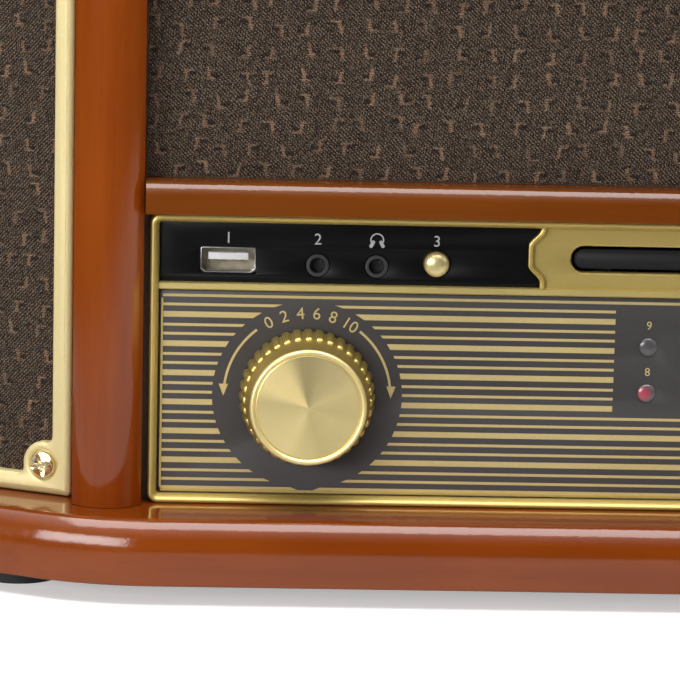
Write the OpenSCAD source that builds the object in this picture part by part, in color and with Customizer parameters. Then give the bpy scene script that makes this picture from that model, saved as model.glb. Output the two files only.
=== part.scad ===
// Stereo music centre: a glossy wooden cabinet with swept speaker wings, a CD drawer, a round tuning
// dial, a cassette slot in its right side and a record player under a hinged lid.
// Millimetres. X runs to the right, Y to the back and Z up. The origin is the middle of the footprint,
// on the surface that the cabinet stands on.

/* [Plinth and feet] */
// Width over the plinth
plinth_w = 530; // [520:1:580]
// Depth over the plinth
plinth_d = 345; // [344:1:380]
// Thickness of the plinth board
plinth_t = 16; // [12:0.5:22]
// Radius of the plinth's rounded top edge
plinth_round = 8.6; // [3:0.1:9]
// Distance from the middle at which the front edge turns back to the wing
sweep_x = 185.5; // [184:0.1:188]
// Radius of that turn
sweep_r = 65; // [50:1:80]
// Radius of the plinth's front corners in plan
corner_r = 24; // [20:1:30]
// Radius of the back corners in plan
back_r = 8; // [4:1:12]
// Distance from the plinth's front edge back to the printed panel
plinth_reach = 24.4; // [22:0.1:28]
// Height of a rubber foot
foot_h = 5; // [3:0.5:9]
// Radius of a rubber foot
foot_r = 11; // [8:0.5:14]
// Distance of a foot from the middle, to the side
foot_x = 204; // [180:1:210]
// Distance of a foot from the middle, to the front and back
foot_y = 141; // [125:1:144]

/* [Cabinet] */
// Height of the carcass between the plinth and the top frame
cab_h = 157; // [154:1:175]
// Thickness of a side panel
side_t = 10; // [8:0.5:12]
// Distance from the plinth's side edge in to the cabinet's side
side_inset = 12; // [10:0.5:14]
// Thickness of the back panel
back_t = 8; // [5:0.5:10]
// Distance from the plinth's back edge in to the back panel
back_inset = 12.5; // [12:0.5:16]
// Thickness of the front baffle board
baffle_t = 10; // [8:0.5:12]
// Width of a battens' section under the deck
batten_w = 18; // [14:1:22]
// Height of a batten
batten_h = 12; // [8:1:16]
// Height of the top frame
frame_h = 12; // [10:0.5:16]
// Width of the top frame's rails
frame_w = 22; // [18:1:24]
// Radius of the top frame's back corners
frame_back_r = 3; // [2:0.5:5]

/* [Columns and rail] */
// Width of a column
col_w = 17; // [15:0.1:20]
// Depth of a column's flat sides in front of the baffle
col_side = 8.6; // [7:0.1:10]
// Rise of a column's convex face
col_crown = 4.5; // [3:0.1:6]
// Gap between the control frame and a column
col_gap = 1.45; // [0.6:0.05:2]
// Height of the centre rail
rail_h = 8; // [7:0.1:11]
// Depth of the centre rail in front of the baffle
rail_d = 12.1; // [9:0.1:13]
// Height of the rail's rounded top edge
rail_round = 4.6; // [2:0.1:6]
// Depth of the rail's rounded top edge
rail_round_d = 2.2; // [1:0.1:6]
// Gap between the control frame and the rail
rail_gap = 0.4; // [0.3:0.1:1]

/* [Speaker wings] */
// Angle at which a wing is swept back
wing_a = 27; // [26:0.5:28]
// Thickness of the gilt wing frame
wing_frame_t = 2.5; // [2:0.1:3.5]
// Width of the wing frame's side bands
wing_band = 4.5; // [4:0.1:6]
// Width of the wing frame's top and bottom bands
wing_end_band = 5; // [4:0.1:6]
// Radius of the lobe round a screw
lobe_r = 5.8; // [5:0.1:7.5]
// Distance of a screw from the frame's side edge
screw_u = 6.6; // [6:0.1:9]
// Distance of a screw from the frame's end edge
screw_v = 7.2; // [6.5:0.1:8.5]
// Radius of a screw's head
screw_head_r = 3.4; // [3:0.05:4.5]
// Radius of a screw's shank
screw_r = 1.5; // [1.2:0.05:2]
// Depth of the countersink under a screw's head
screw_sink = 1; // [0.6:0.1:1.4]
// Rise of a screw's domed head
screw_dome = 1.2; // [0.8:0.1:1.6]
// Length of a screw's shank behind the frame
screw_l = 7; // [5:0.5:8]
// Thickness of the grille cloth
cloth_t = 0.6; // [0.4:0.1:1.2]
// Thickness of a wing's baffle board
wing_board_t = 8; // [8:0.5:9]
// Gap between a column and its wing
wing_gap = 0.2; // [0.1:0.1:0.5]
// Distance from a loudspeaker's frame to the side edge of its board
speaker_margin = 3.1; // [2.5:0.1:6]
// Depth of a loudspeaker behind its board
speaker_d = 29; // [24:1:34]
// Radius of a loudspeaker's magnet as a share of its frame's radius
magnet_share = 0.68; // [0.5:0.01:0.75]

/* [Control panel] */
// Half the width of the gilt control frame
ctl_half = 172.05; // [170:0.05:173]
// Height of the control frame
ctl_h = 72.1; // [70:0.1:74]
// Width of the control frame's rim
rim_w = 2.2; // [2:0.1:3.4]
// Height of the rim in front of the printed panel
rim_proud = 3; // [2:0.1:4]
// Radius of the control frame's outer corners
rim_r = 2.6; // [2:0.1:5]
// Thickness of the printed panel
panel_t = 3.1; // [2.5:0.1:3.6]
// Height of the lower window above the frame's bottom edge
divider_rise = 53.2; // [52.5:0.1:54]
// Height of the divider between the two windows
divider_h = 1.9; // [1.5:0.1:2.4]
// Distance from the drawer's slot to the black strip beside it
strip_gap = 7.8; // [7:0.1:9]
// Depth of the sweep in the input strip's inner end
strip_bow = 3; // [2:0.1:4]
// Width of the bead's crest beside the input strip
bead_crest = 1.3; // [0.8:0.1:2]
// Width of the bead with its foot
bead_w = 2.9; // [2.2:0.1:4]
// Distance that the gilt field lies behind the printed panel
field_sink = 0.5; // [0.2:0.1:1]
// Clearance between a plate and its window
plate_gap = 0.2; // [0.1:0.05:0.4]

/* [Knobs] */
// Distance of a knob from the control frame's side edge
knob_inset = 39.05; // [36:0.05:41]
// Height of the knobs above the plinth
knob_rise = 27.2; // [25:0.1:28]
// Distance that a knob's face stands in front of the printed panel
knob_l = 17.3; // [14:0.1:20]
// Radius of a knob's fluted skirt
knob_r = 17; // [14:0.1:19]
// Radius of a knob's front face
knob_face_r = 14.25; // [12:0.05:14.5]
// Depth of a knob's sloped shoulder
knob_shoulder = 8.8; // [6:0.1:11]
// Number of flutes round a knob
knob_flutes = 36; // [24:1:44]
// Depth of a flute
flute_d = 0.7; // [0.4:0.05:0.9]
// Gap between a knob and the printed panel
knob_gap = 0.6; // [0.3:0.1:0.9]
// Radius of a control's shaft
shaft_r = 3; // [2:0.1:4]
// Radius of a control's threaded bush
bush_r = 4.5; // [4.2:0.1:5.5]
// Side of a control's body behind the baffle
pot_w = 17; // [14:0.5:22]
// Depth of a control's body
pot_d = 12; // [8:0.5:16]

/* [Sockets, button row and lamps] */
// Height of the socket row above the knobs
row_rise = 33.4; // [33:0.1:34.5]
// Distance of the USB socket from the knob, to the outside
usb_dx = 20; // [19:0.5:22]
// Width of the USB socket's shell
usb_w = 13.6; // [13:0.1:14]
// Height of the USB socket's shell
usb_h = 6.3; // [5.8:0.1:6.6]
// Depth of the USB socket
usb_d = 14; // [12:0.5:18]
// Distance of the line input from the knob, to the inside
aux_dx = 1.9; // [1:0.1:2.5]
// Distance of the headphone socket from the knob, to the inside
phones_dx = 16.4; // [15.8:0.1:17]
// Drop of the two jack sockets below the row's centre line
jack_drop = 0.9; // [0:0.1:1]
// Radius of a jack socket's bore
jack_bore_r = 1.75; // [1.6:0.05:1.8]
// Radius of a jack socket's nose
jack_nose_r = 2.9; // [2.6:0.1:3.2]
// Depth of a jack socket's bore
jack_l = 14; // [12:0.5:16]
// Distance of the function button from the knob, to the inside
function_dx = 31.1; // [30.8:0.1:32]
// Radius of a push button
button_r = 3.15; // [2.8:0.05:3.4]
// Distance that a push button stands out
button_proud = 2.5; // [2.2:0.1:4]
// Clearance round a moving button
button_gap = 0.3; // [0.25:0.05:0.4]
// Pitch of the disc buttons as a share of their strip's length
disc_button_share = 0.2; // [0.18:0.005:0.22]
// Radius of an indicator lamp
lamp_r = 2.2; // [1.5:0.1:2.6]
// Distance of the lamps from the middle
lamp_x = 48.8; // [47:0.1:51]
// Height of the lower lamp above the knobs
lamp_rise = 2; // [1:0.1:3]
// Distance between the two lamps
lamp_pitch = 11.6; // [10:0.1:13]
// Half the width of the display window
display_half = 36; // [30:0.5:38]
// Height of the display window
display_h = 20; // [16:0.5:21]
// Drop of the display window's bottom edge below the knobs
display_drop = 0.2; // [0:0.1:1]

/* [Disc drawer] */
// Half the length of the drawer's slot
slot_half = 68.7; // [67:0.1:69.5]
// Height of the drawer's slot
slot_h = 6.5; // [6.2:0.1:7]
// Height of the slot above the knobs
slot_rise = 31.9; // [31.5:0.1:32.8]
// Clearance between the drawer and its slot
tray_gap = 0.9; // [0.5:0.05:1.2]
// Half the width of the drawer behind its front
tray_half = 64; // [62.5:0.1:65]
// Length of the drawer
tray_l = 152; // [145:1:158]
// Radius of the disc's well
disc_r = 60.6; // [60.2:0.1:61]
// Depth of the disc's well
disc_sink = 1.8; // [1.2:0.1:2.4]
// Half the width of the drawer's slot for the hub
hub_slot = 17; // [14:0.5:20]
// Radius of the disc hub
hub_r = 12; // [8:0.5:13]
// Height of the drive's chassis
drive_h = 18; // [14:0.5:22]
// Wall of the drive's chassis
drive_wall = 5; // [4:0.5:6]

/* [Tuning dial] */
// Height of the dial's centre above the plinth
dial_rise = 120; // [119:0.5:121]
// Outer radius of the dial's bezel
dial_r = 34; // [32:0.5:35]
// Width of the bezel's ring
bezel_w = 4; // [3:0.1:5]
// Depth of the bezel in front of the cloth
bezel_d = 6; // [5:0.1:7]
// Length of the pointer
pointer_l = 24; // [18:0.5:26]
// Radius of the pointer's shaft
pointer_shaft_r = 1.5; // [1.2:0.1:2]
// Radius of the cord drum behind the dial
drum_r = 15; // [12:0.5:18]

/* [Record player] */
// Thickness of the deck
deck_t = 4; // [3:0.1:5]
// Distance of the spindle from the middle, to the left
spindle_x = 60; // [58:1:64]
// Distance of the spindle from the middle, to the front
spindle_y = 1.5; // [0.5:0.1:2.5]
// Radius of the platter
platter_r = 98; // [94:0.5:100]
// Gap between the deck and the platter's skirt
platter_gap = 2.5; // [2:0.1:3]
// Height of the platter
platter_h = 10.5; // [10:0.1:12]
// Thickness of the platter's top
platter_t = 4; // [3.4:0.1:4.4]
// Thickness of the mat
mat_t = 2; // [1.5:0.1:2.5]
// Radius of the record spindle above the mat
pin_r = 3.6; // [3.5:0.01:3.63]
// Radius of the spindle's bearing in the platter
bearing_r = 5; // [4.5:0.1:6]
// Height of the spindle above the mat
pin_h = 8; // [6:0.5:10]
// Radius of the spindle's stem in the deck
stem_r = 8; // [7:0.1:9]
// Length of the spindle's stem under the deck
stem_l = 14; // [10:0.5:18]
// Radius of the belt's drive ring under the platter
ring_r = 70; // [66:0.5:71]
// Radius of the motor's pulley
pulley_r = 5; // [4:0.1:5.5]
// Distance of the motor from the spindle
motor_reach = 84; // [83:0.5:85]
// Direction of the motor from the spindle
motor_a = 135; // [120:1:150]
// Radius of the motor
motor_r = 17; // [14:0.5:20]
// Height of the motor
motor_h = 28; // [22:0.5:34]
// Thickness of the belt
belt_t = 1; // [0.6:0.1:1.4]
// Height of the belt
belt_h = 3; // [2.5:0.1:3.4]
// Clearance beside the belt
belt_gap = 0.3; // [0.3:0.05:0.5]
// Distance of the speed selector from the middle
speed_x = 178; // [172:1:184]
// Distance of the speed selector's rest place to the front
speed_y = 46; // [40:1:55]
// Travel of the speed selector
speed_travel = 12; // [10:0.5:14]

/* [Tone arm] */
// Direction of the arm's pivot from the spindle
arm_a = 23.26; // [20:0.01:26]
// Distance that the stylus reaches past the spindle
overhang = 14.3; // [12:0.1:18]
// Height of the arm's tube above the deck
arm_rise = 24; // [23.5:0.1:25]
// Length from the pivot to the stylus
arm_l = 208; // [200:0.5:209]
// Radius of the arm's tube
arm_r = 3; // [2.5:0.1:3.4]
// Length of the headshell
shell_l = 26; // [22:0.5:30]
// Width of the headshell
shell_w = 14; // [12:0.5:17]
// Radius of the counterweight
weight_r = 9; // [7:0.5:9.5]
// Length of the counterweight
weight_l = 16; // [12:0.5:18]
// Radius of the arm's post
post_r = 13; // [11:0.5:14]
// Height of the arm's tube above its post
post_drop = 10; // [8:0.5:12]
// Radius of a pivot pin
pivot_r = 1.5; // [1.2:0.1:2]
// Distance of the arm rest in front of the pivot
rest_reach = 140; // [130:1:150]
// Radius at which the lifting platform meets the arm
lift_r = 34.5; // [32:0.5:37]
// Distance of the cueing lever from the pivot, to the right
cue_dx = 30; // [26:0.5:34]
// Length of the cueing lever
cue_l = 24; // [18:0.5:28]

/* [Lid] */
// Height of the lid
lid_h = 46; // [44:0.5:60]
// Thickness of the lid's walls
lid_wall = 8; // [6:0.5:8]
// Thickness of the lid's top
lid_top = 8; // [6:0.5:10]
// Distance from the plinth's edge in to the lid's edge
lid_inset = 8; // [6:0.5:10]
// Radius of the lid's rounded top edge
lid_round = 9; // [5:0.5:12]
// Distance of the hinges from the middle
hinge_x = 150; // [100:1:190]
// Length of one hinge
hinge_l = 40; // [30:1:60]
// Radius of a hinge's knuckle
knuckle_r = 3; // [2.6:0.1:4]
// Radius of a hinge's pin
hinge_pin_r = 1.5; // [1.2:0.1:1.8]
// Thickness of a hinge's leaf
leaf_t = 1.2; // [0.8:0.1:1.6]
// Height of a hinge's leaf
leaf_h = 14; // [12:0.5:18]

/* [Cassette slot] */
// Width of the cassette slot
tape_w = 106; // [104:0.5:110]
// Height of the cassette slot
tape_h = 17; // [15:0.5:19]
// Depth of the space for the cassette
tape_d = 66; // [65:0.5:80]
// Height of the slot above the plinth
tape_rise = 38.5; // [32:0.5:60]
// Distance of the slot's front end from the middle, to the front
tape_y = 46; // [40:1:60]
// Wall of the cassette mechanism's case
tape_wall = 3; // [2:0.1:4]
// Thickness of the bezel
tape_bezel_t = 3; // [2:0.1:4]
// Margin of the bezel round the slot
tape_margin = 8; // [6:0.5:12]
// Thickness of the flap
flap_t = 1.5; // [1:0.1:2]
// Radius of the eject button
eject_r = 4.6; // [4:0.1:5]

/* [Back and inside] */
// Radius of a line output socket's barrel
rca_r = 4.15; // [4:0.05:4.3]
// Length of a line output socket's barrel
rca_l = 8.5; // [8:0.1:9]
// Distance between the line output sockets
rca_pitch = 18; // [16:0.5:24]
// Distance of the line outputs from the middle
rca_x = 120; // [90:1:140]
// Height of the line outputs above the plinth
rca_rise = 60; // [40:1:100]
// Distance of the mains inlet from the middle, to the left
inlet_x = 150; // [120:1:170]
// Height of the mains inlet above the plinth
inlet_rise = 35; // [30:1:60]
// Depth of the mains inlet's recess
inlet_d = 14.5; // [13:0.5:17]
// Width of the main circuit board
board_w = 110; // [90:1:118]
// Depth of the main circuit board
board_d = 90; // [70:1:110]
// Height of the main circuit board's posts
board_post = 6; // [4:0.5:9]
// Height of the board's tallest parts
board_part_h = 14; // [8:0.5:16]
// Width of the mains transformer
trafo_w = 52; // [44:1:60]
// Depth of the mains transformer's coil
trafo_d = 40; // [34:1:46]
// Distance of the mains transformer from the middle, to the back
trafo_y = 70; // [40:1:90]

/* [Hidden] */

// Number of straight steps in a small rounded corner
fine = 8;
// Number of segments of a true circle
$fn = 64;
// Radial clearance of a pin in its bore
run = 0.05;
// Gap between pieces that lie close without touching
close = 0.3;
// Overlap that joins the shapes of one solid
eps = 0.01;

front_y = -plinth_d / 2;
back_y = plinth_d / 2;
plinth_top = foot_h + plinth_t;
print_y = front_y + plinth_reach;
baffle_y = print_y + panel_t;
cab_top = plinth_top + cab_h;
rim_top = cab_top + frame_h;
cab_back = back_y - back_inset;
side_out = plinth_w / 2 - side_inset;
side_in = side_out - side_t;
knob_x = ctl_half - knob_inset;
knob_z = plinth_top + knob_rise;
ctl_top = plinth_top + ctl_h;
rail_z = ctl_top + rail_gap;
rail_top = rail_z + rail_h;
col_in = ctl_half + col_gap;
col_out = col_in + col_w;
wing_x = col_out + wing_gap;
wing_y = print_y + close;
// Distance along the wing at which its frame and cloth begin
wing_u0 = wing_gap + (wing_frame_t + cloth_t - close) * tan(wing_a);
wing_l = (side_in - 2 * plate_gap - wing_x) / cos(wing_a);
wing_depth = wing_frame_t + cloth_t + wing_board_t;
wing_z0 = plinth_top + plate_gap;
wing_z1 = cab_top - plate_gap;
wing_mid = (wing_u0 + wing_l) / 2;
speaker_r = (wing_l - wing_u0) / 2 - speaker_margin;
magnet_r = speaker_r * magnet_share;
baffle_half = wing_x + wing_u0 * cos(wing_a) - wing_depth * sin(wing_a);
wing_end_y = wing_y + wing_l * sin(wing_a);
window_x = ctl_half - rim_w;
divider_z = plinth_top + divider_rise;
upper_z0 = divider_z + divider_h;
upper_z1 = ctl_top - rim_w / 2;
strip_in = slot_half + strip_gap;
strip_mid = (strip_in + window_x) / 2;
disc_button_pitch = (window_x - strip_in) * disc_button_share;
row_z = knob_z + row_rise;
usb_x = -(knob_x + usb_dx);
aux_x = aux_dx - knob_x;
phones_x = phones_dx - knob_x;
function_x = function_dx - knob_x;
slot_z = knob_z + slot_rise;
slot_top = slot_z + slot_h;
field_y = print_y + field_sink;
tray_z0 = slot_z + tray_gap;
tray_z1 = slot_top - tray_gap;
tray_front = field_y + 1;
disc_y = tray_front + 5 + disc_r;
dial_z = plinth_top + dial_rise;
cloth_y = baffle_y - 2 * cloth_t;
dial_face_t = 1.2;
deck_top = cab_top + deck_t;
platter_z = deck_top + platter_gap;
platter_top = platter_z + platter_h;
mat_top = platter_top + mat_t;
pin_top = mat_top + pin_h;
motor_x = motor_reach * cos(motor_a) - spindle_x;
motor_y = motor_reach * sin(motor_a) - spindle_y;
belt_z = platter_z + 2;
arm_z = deck_top + arm_rise;
post_top = arm_z - post_drop;
arm_x = (arm_l - overhang) * cos(arm_a) - spindle_x;
arm_y = (arm_l - overhang) * sin(arm_a) - spindle_y;
lift_a = -90 - 26;
lid_base = rim_top;
lid_back = cab_back + 1;
hinge_y = lid_back + leaf_t + knuckle_r - 0.8;
tape_z = plinth_top + tape_rise;
eject_y = -tape_y + tape_w + tape_margin + eject_r;
case_in = side_out - tape_d - tape_wall - 8;

// Points of an arc about c, of radius r, from angle a0 to a1
function arc(c, r, a0, a1, n = fine) =
    [for (i = [0:n]) c + r * [cos(a0 + (a1 - a0) * i / n), sin(a0 + (a1 - a0) * i / n)]];

// Corner points of a rectangle with rounded corners
function rounded(x0, y0, x1, y1, r) = concat(
    arc([x1 - r, y1 - r], r, 0, 90),
    arc([x0 + r, y1 - r], r, 90, 180),
    arc([x0 + r, y0 + r], r, 180, 270),
    arc([x1 - r, y0 + r], r, 270, 360));

// Points in reverse order, mirrored to the left
function mirrored(p) = [for (i = [len(p) - 1:-1:0]) [-p[i][0], p[i][1]]];

// Right half of the cabinet's plan, drawn in by d from the plinth's edge, with its back edge at yb
function half_plan(d, yb, rb) =
    let (vx = sweep_x - d * tan(wing_a / 2), vy = front_y + d, r1 = sweep_r - d,
        hx = plinth_w / 2 - d, cy = vy + (hx - vx) * tan(wing_a), r2 = max(corner_r - d, 2))
    concat(
        arc([vx - r1 * tan(wing_a / 2), vy + r1], r1, -90, wing_a - 90),
        arc([hx - r2, cy + r2 * tan((90 - wing_a) / 2)], r2, wing_a - 90, 0),
        arc([hx - rb, yb - rb], rb, 0, 90, 4));

// Whole plan of the cabinet
function plan(d, yb, rb) = concat(half_plan(d, yb, rb), mirrored(half_plan(d, yb, rb)));

// Distance of the input strip's end from the middle, at a height from 0 to 1 of the window: straight in
// the middle third, with a swept curve out to each corner
function strip_end(t) = let (s = min(max((abs(2 * t - 1) - 0.33) / 0.45, 0), 1))
    strip_in + strip_bow * (1 - s * s * (3 - 2 * s));

// Points along the swept end, moved by dx, from the bottom up
function strip_edge(dx, z0, z1) = [for (i = [0:fine * 3])
    [strip_end(i / (fine * 3)) + dx, z0 + (z1 - z0) * i / (fine * 3)]];

// Stands a flat shape up, as a plate between the depths y0 and y1
module upright(y0, y1) {
    translate([0, y1, 0]) rotate([90, 0, 0]) linear_extrude(y1 - y0) children();
}

// Box between two corners
module block(a, b) {
    translate(a) cube(b - a);
}

// Round bar along Y at x, z, between the depths y0 and y1
module bar_y(x, z, y0, y1, r) {
    translate([x, y1, z]) rotate([90, 0, 0]) cylinder(h = y1 - y0, r = r);
}

// Round bar along X at y, z, between x0 and x1
module bar_x(x0, x1, y, z, r) {
    translate([x0, y, z]) rotate([0, 90, 0]) cylinder(h = x1 - x0, r = r);
}

// Both wings' own frame: X along the wing, Y into the cabinet, with the gilt frame's face at Y 0
module wings() {
    for (m = [0, 1]) mirror([m, 0, 0]) translate([wing_x, wing_y, 0]) rotate([0, 0, wing_a]) children();
}

// Places of the four screws on one wing
module wing_corners() {
    for (u = [wing_u0 + screw_u, wing_l - screw_u]) for (v = [wing_z0 + screw_v, wing_z1 - screw_v])
        translate([u, 0, v]) children();
}

// Left and right copies
module both_sides() {
    for (m = [0, 1]) mirror([m, 0, 0]) children();
}

// Solid whose plan shrinks over a quarter round at its top edge
module rounded_slab(d, yb, rb, z0, z1, r) {
    hull() {
        translate([0, 0, z0]) linear_extrude(z1 - z0 - r) polygon(plan(d, yb, rb));
        for (i = [1:6]) translate([0, 0, z1 - r + r * sin(i * 15) - eps]) linear_extrude(eps)
            polygon(plan(d + r * (1 - cos(i * 15)), yb - r * (1 - cos(i * 15)), rb));
    }
}

module plinth() {
    color("saddlebrown") rounded_slab(0, back_y, back_r, foot_h, plinth_top, plinth_round);
}

module rubber_feet() {
    color("dimgray") for (x = [-foot_x, foot_x]) for (y = [-foot_y, foot_y])
        translate([x, y, 0]) cylinder(h = foot_h, r1 = foot_r - 1, r2 = foot_r);
}

// One side board with the batten that carries the deck
module side_board() {
    intersection() {
        translate([0, 0, plinth_top]) linear_extrude(cab_h) polygon(plan(side_inset, cab_back, frame_back_r));
        block([side_in, wing_end_y - 2, plinth_top - 1], [side_out + 1, cab_back + 1, cab_top + 1]);
    }
    block([side_in - batten_w, wing_end_y + batten_w, cab_top - batten_h],
        [side_in + eps, cab_back - back_t - close, cab_top]);
}

module side_panel_left() {
    color("sienna") mirror([1, 0, 0]) side_board();
}

module side_panel_right() {
    color("sienna") difference() {
        side_board();
        block([side_in - 1, -tape_y - tape_wall - close, tape_z - tape_wall - close],
            [side_out + 1, tape_w - tape_y + tape_wall + close, tape_z + tape_h + tape_wall + close]);
        bar_x(side_in - 1, side_out + 1, eject_y, tape_z + tape_h / 2, eject_r + 1.4);
    }
}

module back_panel() {
    color("dimgray") difference() {
        union() {
            block([close - side_in, cab_back - back_t, plinth_top], [side_in - close, cab_back, cab_top]);
            block([batten_w + close - side_in, cab_back - back_t - batten_w, cab_top - batten_h],
                [side_in - batten_w - close, cab_back - back_t + eps, cab_top]);
        }
        block([-inlet_x - 13.3, cab_back - back_t - 1, plinth_top + inlet_rise - 9.3],
            [13.3 - inlet_x, cab_back + 1, plinth_top + inlet_rise + 9.3]);
        for (i = [-1, 1]) bar_y(rca_x + i * rca_pitch / 2, plinth_top + rca_rise,
            cab_back - back_t - 1, cab_back + 1, rca_r + close);
    }
}

module front_baffle() {
    color("dimgray") difference() {
        block([-baffle_half, baffle_y, plinth_top], [baffle_half, baffle_y + baffle_t, cab_top]);
        for (x = [-knob_x, knob_x]) bar_y(x, knob_z, baffle_y - 1, baffle_y + baffle_t + 1, bush_r + close);
        bar_y(0, dial_z, baffle_y - 1, baffle_y + baffle_t + 1, drum_r + 2);
        block([-display_half - 4, baffle_y - 1, knob_z - display_drop - 2],
            [display_half + 4, baffle_y + baffle_t + 1, knob_z - display_drop + display_h + 2]);
        for (i = [0, 1]) bar_y(-lamp_x, knob_z + lamp_rise + i * lamp_pitch,
            baffle_y - 1, baffle_y + baffle_t + 1, lamp_r + 1);
        block([-slot_half - 2, baffle_y - 1, slot_z - 1.6],
            [slot_half + 2, baffle_y + baffle_t + 1, slot_top + 1.6]);
        both_sides() block([strip_in + strip_bow + 1, baffle_y - 1, upper_z0 + close],
            [window_x - 2, baffle_y + baffle_t + 1, upper_z1 - close]);
    }
}

module columns() {
    color("saddlebrown") both_sides() translate([0, 0, plinth_top]) linear_extrude(cab_h)
        polygon(let (h = col_w / 2, r = (h * h + col_crown * col_crown) / (2 * col_crown), a = asin(h / r))
            concat([[col_out, baffle_y], [col_in, baffle_y]],
                arc([col_in + h, baffle_y - col_side + r - col_crown], r, -90 - a, -90 + a, 2 * fine)));
}

module centre_rail() {
    color("saddlebrown") translate([close - col_in, 0, 0]) rotate([90, 0, 90])
        linear_extrude(2 * (col_in - close)) polygon(concat(
            [[baffle_y, rail_z], [baffle_y, rail_top]],
            [for (p = arc([0, 0], 1, 90, 180)) [baffle_y - rail_d + rail_round_d * (1 + p[0]),
                rail_top - rail_round * (1 - p[1])]],
            [[baffle_y - rail_d, rail_z]]));
}

module top_frame() {
    color("saddlebrown") difference() {
        translate([0, 0, cab_top]) linear_extrude(frame_h) polygon(plan(side_inset, cab_back, frame_back_r));
        translate([0, 0, cab_top - 1]) linear_extrude(frame_h + 2)
            polygon(plan(side_inset + frame_w, cab_back - frame_w, frame_back_r));
    }
}

// Upright sheet across one wing, between two depths, with the screws' holes
module wing_sheet(y0, y1, u0, u1, hole_r) {
    difference() {
        block([u0, y0, wing_z0], [u1, y1, wing_z1]);
        wing_corners() bar_y(0, 0, y0 - 1, y1 + 1, hole_r);
    }
}

module wing_baffles() {
    color("dimgray") wings() difference() {
        wing_sheet(wing_frame_t + cloth_t, wing_depth, wing_u0 + close, wing_l - close, screw_r + close / 2);
        bar_y(wing_mid, (wing_z0 + wing_z1) / 2, 0, wing_depth + 1, speaker_r - 4);
    }
}

module wing_cloths() {
    color("saddlebrown") wings()
        wing_sheet(wing_frame_t, wing_frame_t + cloth_t, wing_u0, wing_l, screw_r + close / 2);
}

module wing_frames() {
    color("palegoldenrod") wings() difference() {
        wing_sheet(0, wing_frame_t, wing_u0, wing_l, screw_r + close / 2);
        difference() {
            block([wing_u0 + wing_band, -1, wing_z0 + wing_end_band],
                [wing_l - wing_band, wing_frame_t + 1, wing_z1 - wing_end_band]);
            wing_corners() bar_y(0, 0, -2, wing_frame_t + 2, lobe_r);
        }
        wing_corners() bar_y(0, 0, -1, screw_sink, screw_head_r + close / 2);
    }
}

module wing_screws() {
    color("silver") wings() wing_corners() rotate([90, 0, 0]) rotate_extrude()
        polygon(concat([[0, -wing_frame_t - screw_l], [screw_r, -wing_frame_t - screw_l],
            [screw_r, -screw_sink], [screw_head_r, -screw_sink]],
            [for (i = [0:5]) [screw_head_r * cos(i * 18), screw_dome * sin(i * 18)]]));
}

module centre_cloth() {
    color("saddlebrown") difference() {
        block([close - col_in, cloth_y, rail_top + close], [col_in - close, baffle_y, cab_top - close]);
        bar_y(0, dial_z, cloth_y - 1, baffle_y + 1, dial_r - bezel_w / 2);
    }
}

// Gilt field between the two input strips, with its beads
module gilt_field() {
    edge = strip_edge(-plate_gap, upper_z0 - eps, upper_z1 + eps);
    upright(field_y, baffle_y) polygon(concat(edge, mirrored(edge)));
    both_sides() for (w = [bead_crest, bead_w]) upright(print_y - (w == bead_w ? 0 : 1), field_y + eps)
        polygon(concat(strip_edge(-plate_gap, upper_z0, upper_z1),
            [for (p = mirrored(strip_edge(-plate_gap - w, upper_z0, upper_z1))) [-p[0], p[1]]]));
}

module control_frame() {
    color("darkkhaki") difference() {
        union() {
            difference() {
                upright(print_y - rim_proud, baffle_y)
                    polygon(rounded(-ctl_half, plinth_top, ctl_half, ctl_top, rim_r));
                upright(print_y - rim_proud - 1, baffle_y + 1)
                    polygon(rounded(-window_x, plinth_top + rim_w, window_x, divider_z, rim_r - 1));
                upright(print_y - rim_proud - 1, baffle_y + 1)
                    polygon(rounded(-window_x, upper_z0, window_x, upper_z1, rim_r - 1));
            }
            gilt_field();
        }
        upright(print_y - rim_proud - 1, baffle_y + 1)
            polygon(rounded(-slot_half, slot_z, slot_half, slot_top, slot_h / 2 - eps));
    }
}

// Shape of one black strip, seen from the front, on the right
module strip_shape() {
    polygon(concat(
        [for (p = mirrored(strip_edge(plate_gap, upper_z0 + plate_gap, upper_z1 - plate_gap))) [-p[0], p[1]]],
        [[strip_in + strip_bow + 8, upper_z0 + plate_gap]],
        arc([window_x - plate_gap - rim_r + 1, upper_z0 + plate_gap + rim_r - 1], rim_r - 1, 270, 360),
        arc([window_x - plate_gap - rim_r + 1, upper_z1 - plate_gap - rim_r + 1], rim_r - 1, 0, 90)));
}

module input_plates() {
    color("black") {
        difference() {
            mirror([1, 0, 0]) upright(print_y, baffle_y) strip_shape();
            block([usb_x - usb_w / 2 - close, print_y - 1, row_z - usb_h / 2 - close],
                [usb_x + usb_w / 2 + close, baffle_y + 1, row_z + usb_h / 2 + close]);
            for (x = [aux_x, phones_x]) bar_y(x, row_z - jack_drop, print_y - 1, baffle_y + 1,
                jack_nose_r + close / 2);
            bar_y(function_x, row_z, print_y - 1, baffle_y + 1, button_r + button_gap);
        }
        difference() {
            upright(print_y, baffle_y) strip_shape();
            for (i = [0:3]) bar_y(disc_button_x(i), row_z, print_y - 1, baffle_y + 1, button_r + button_gap);
        }
    }
}

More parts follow.
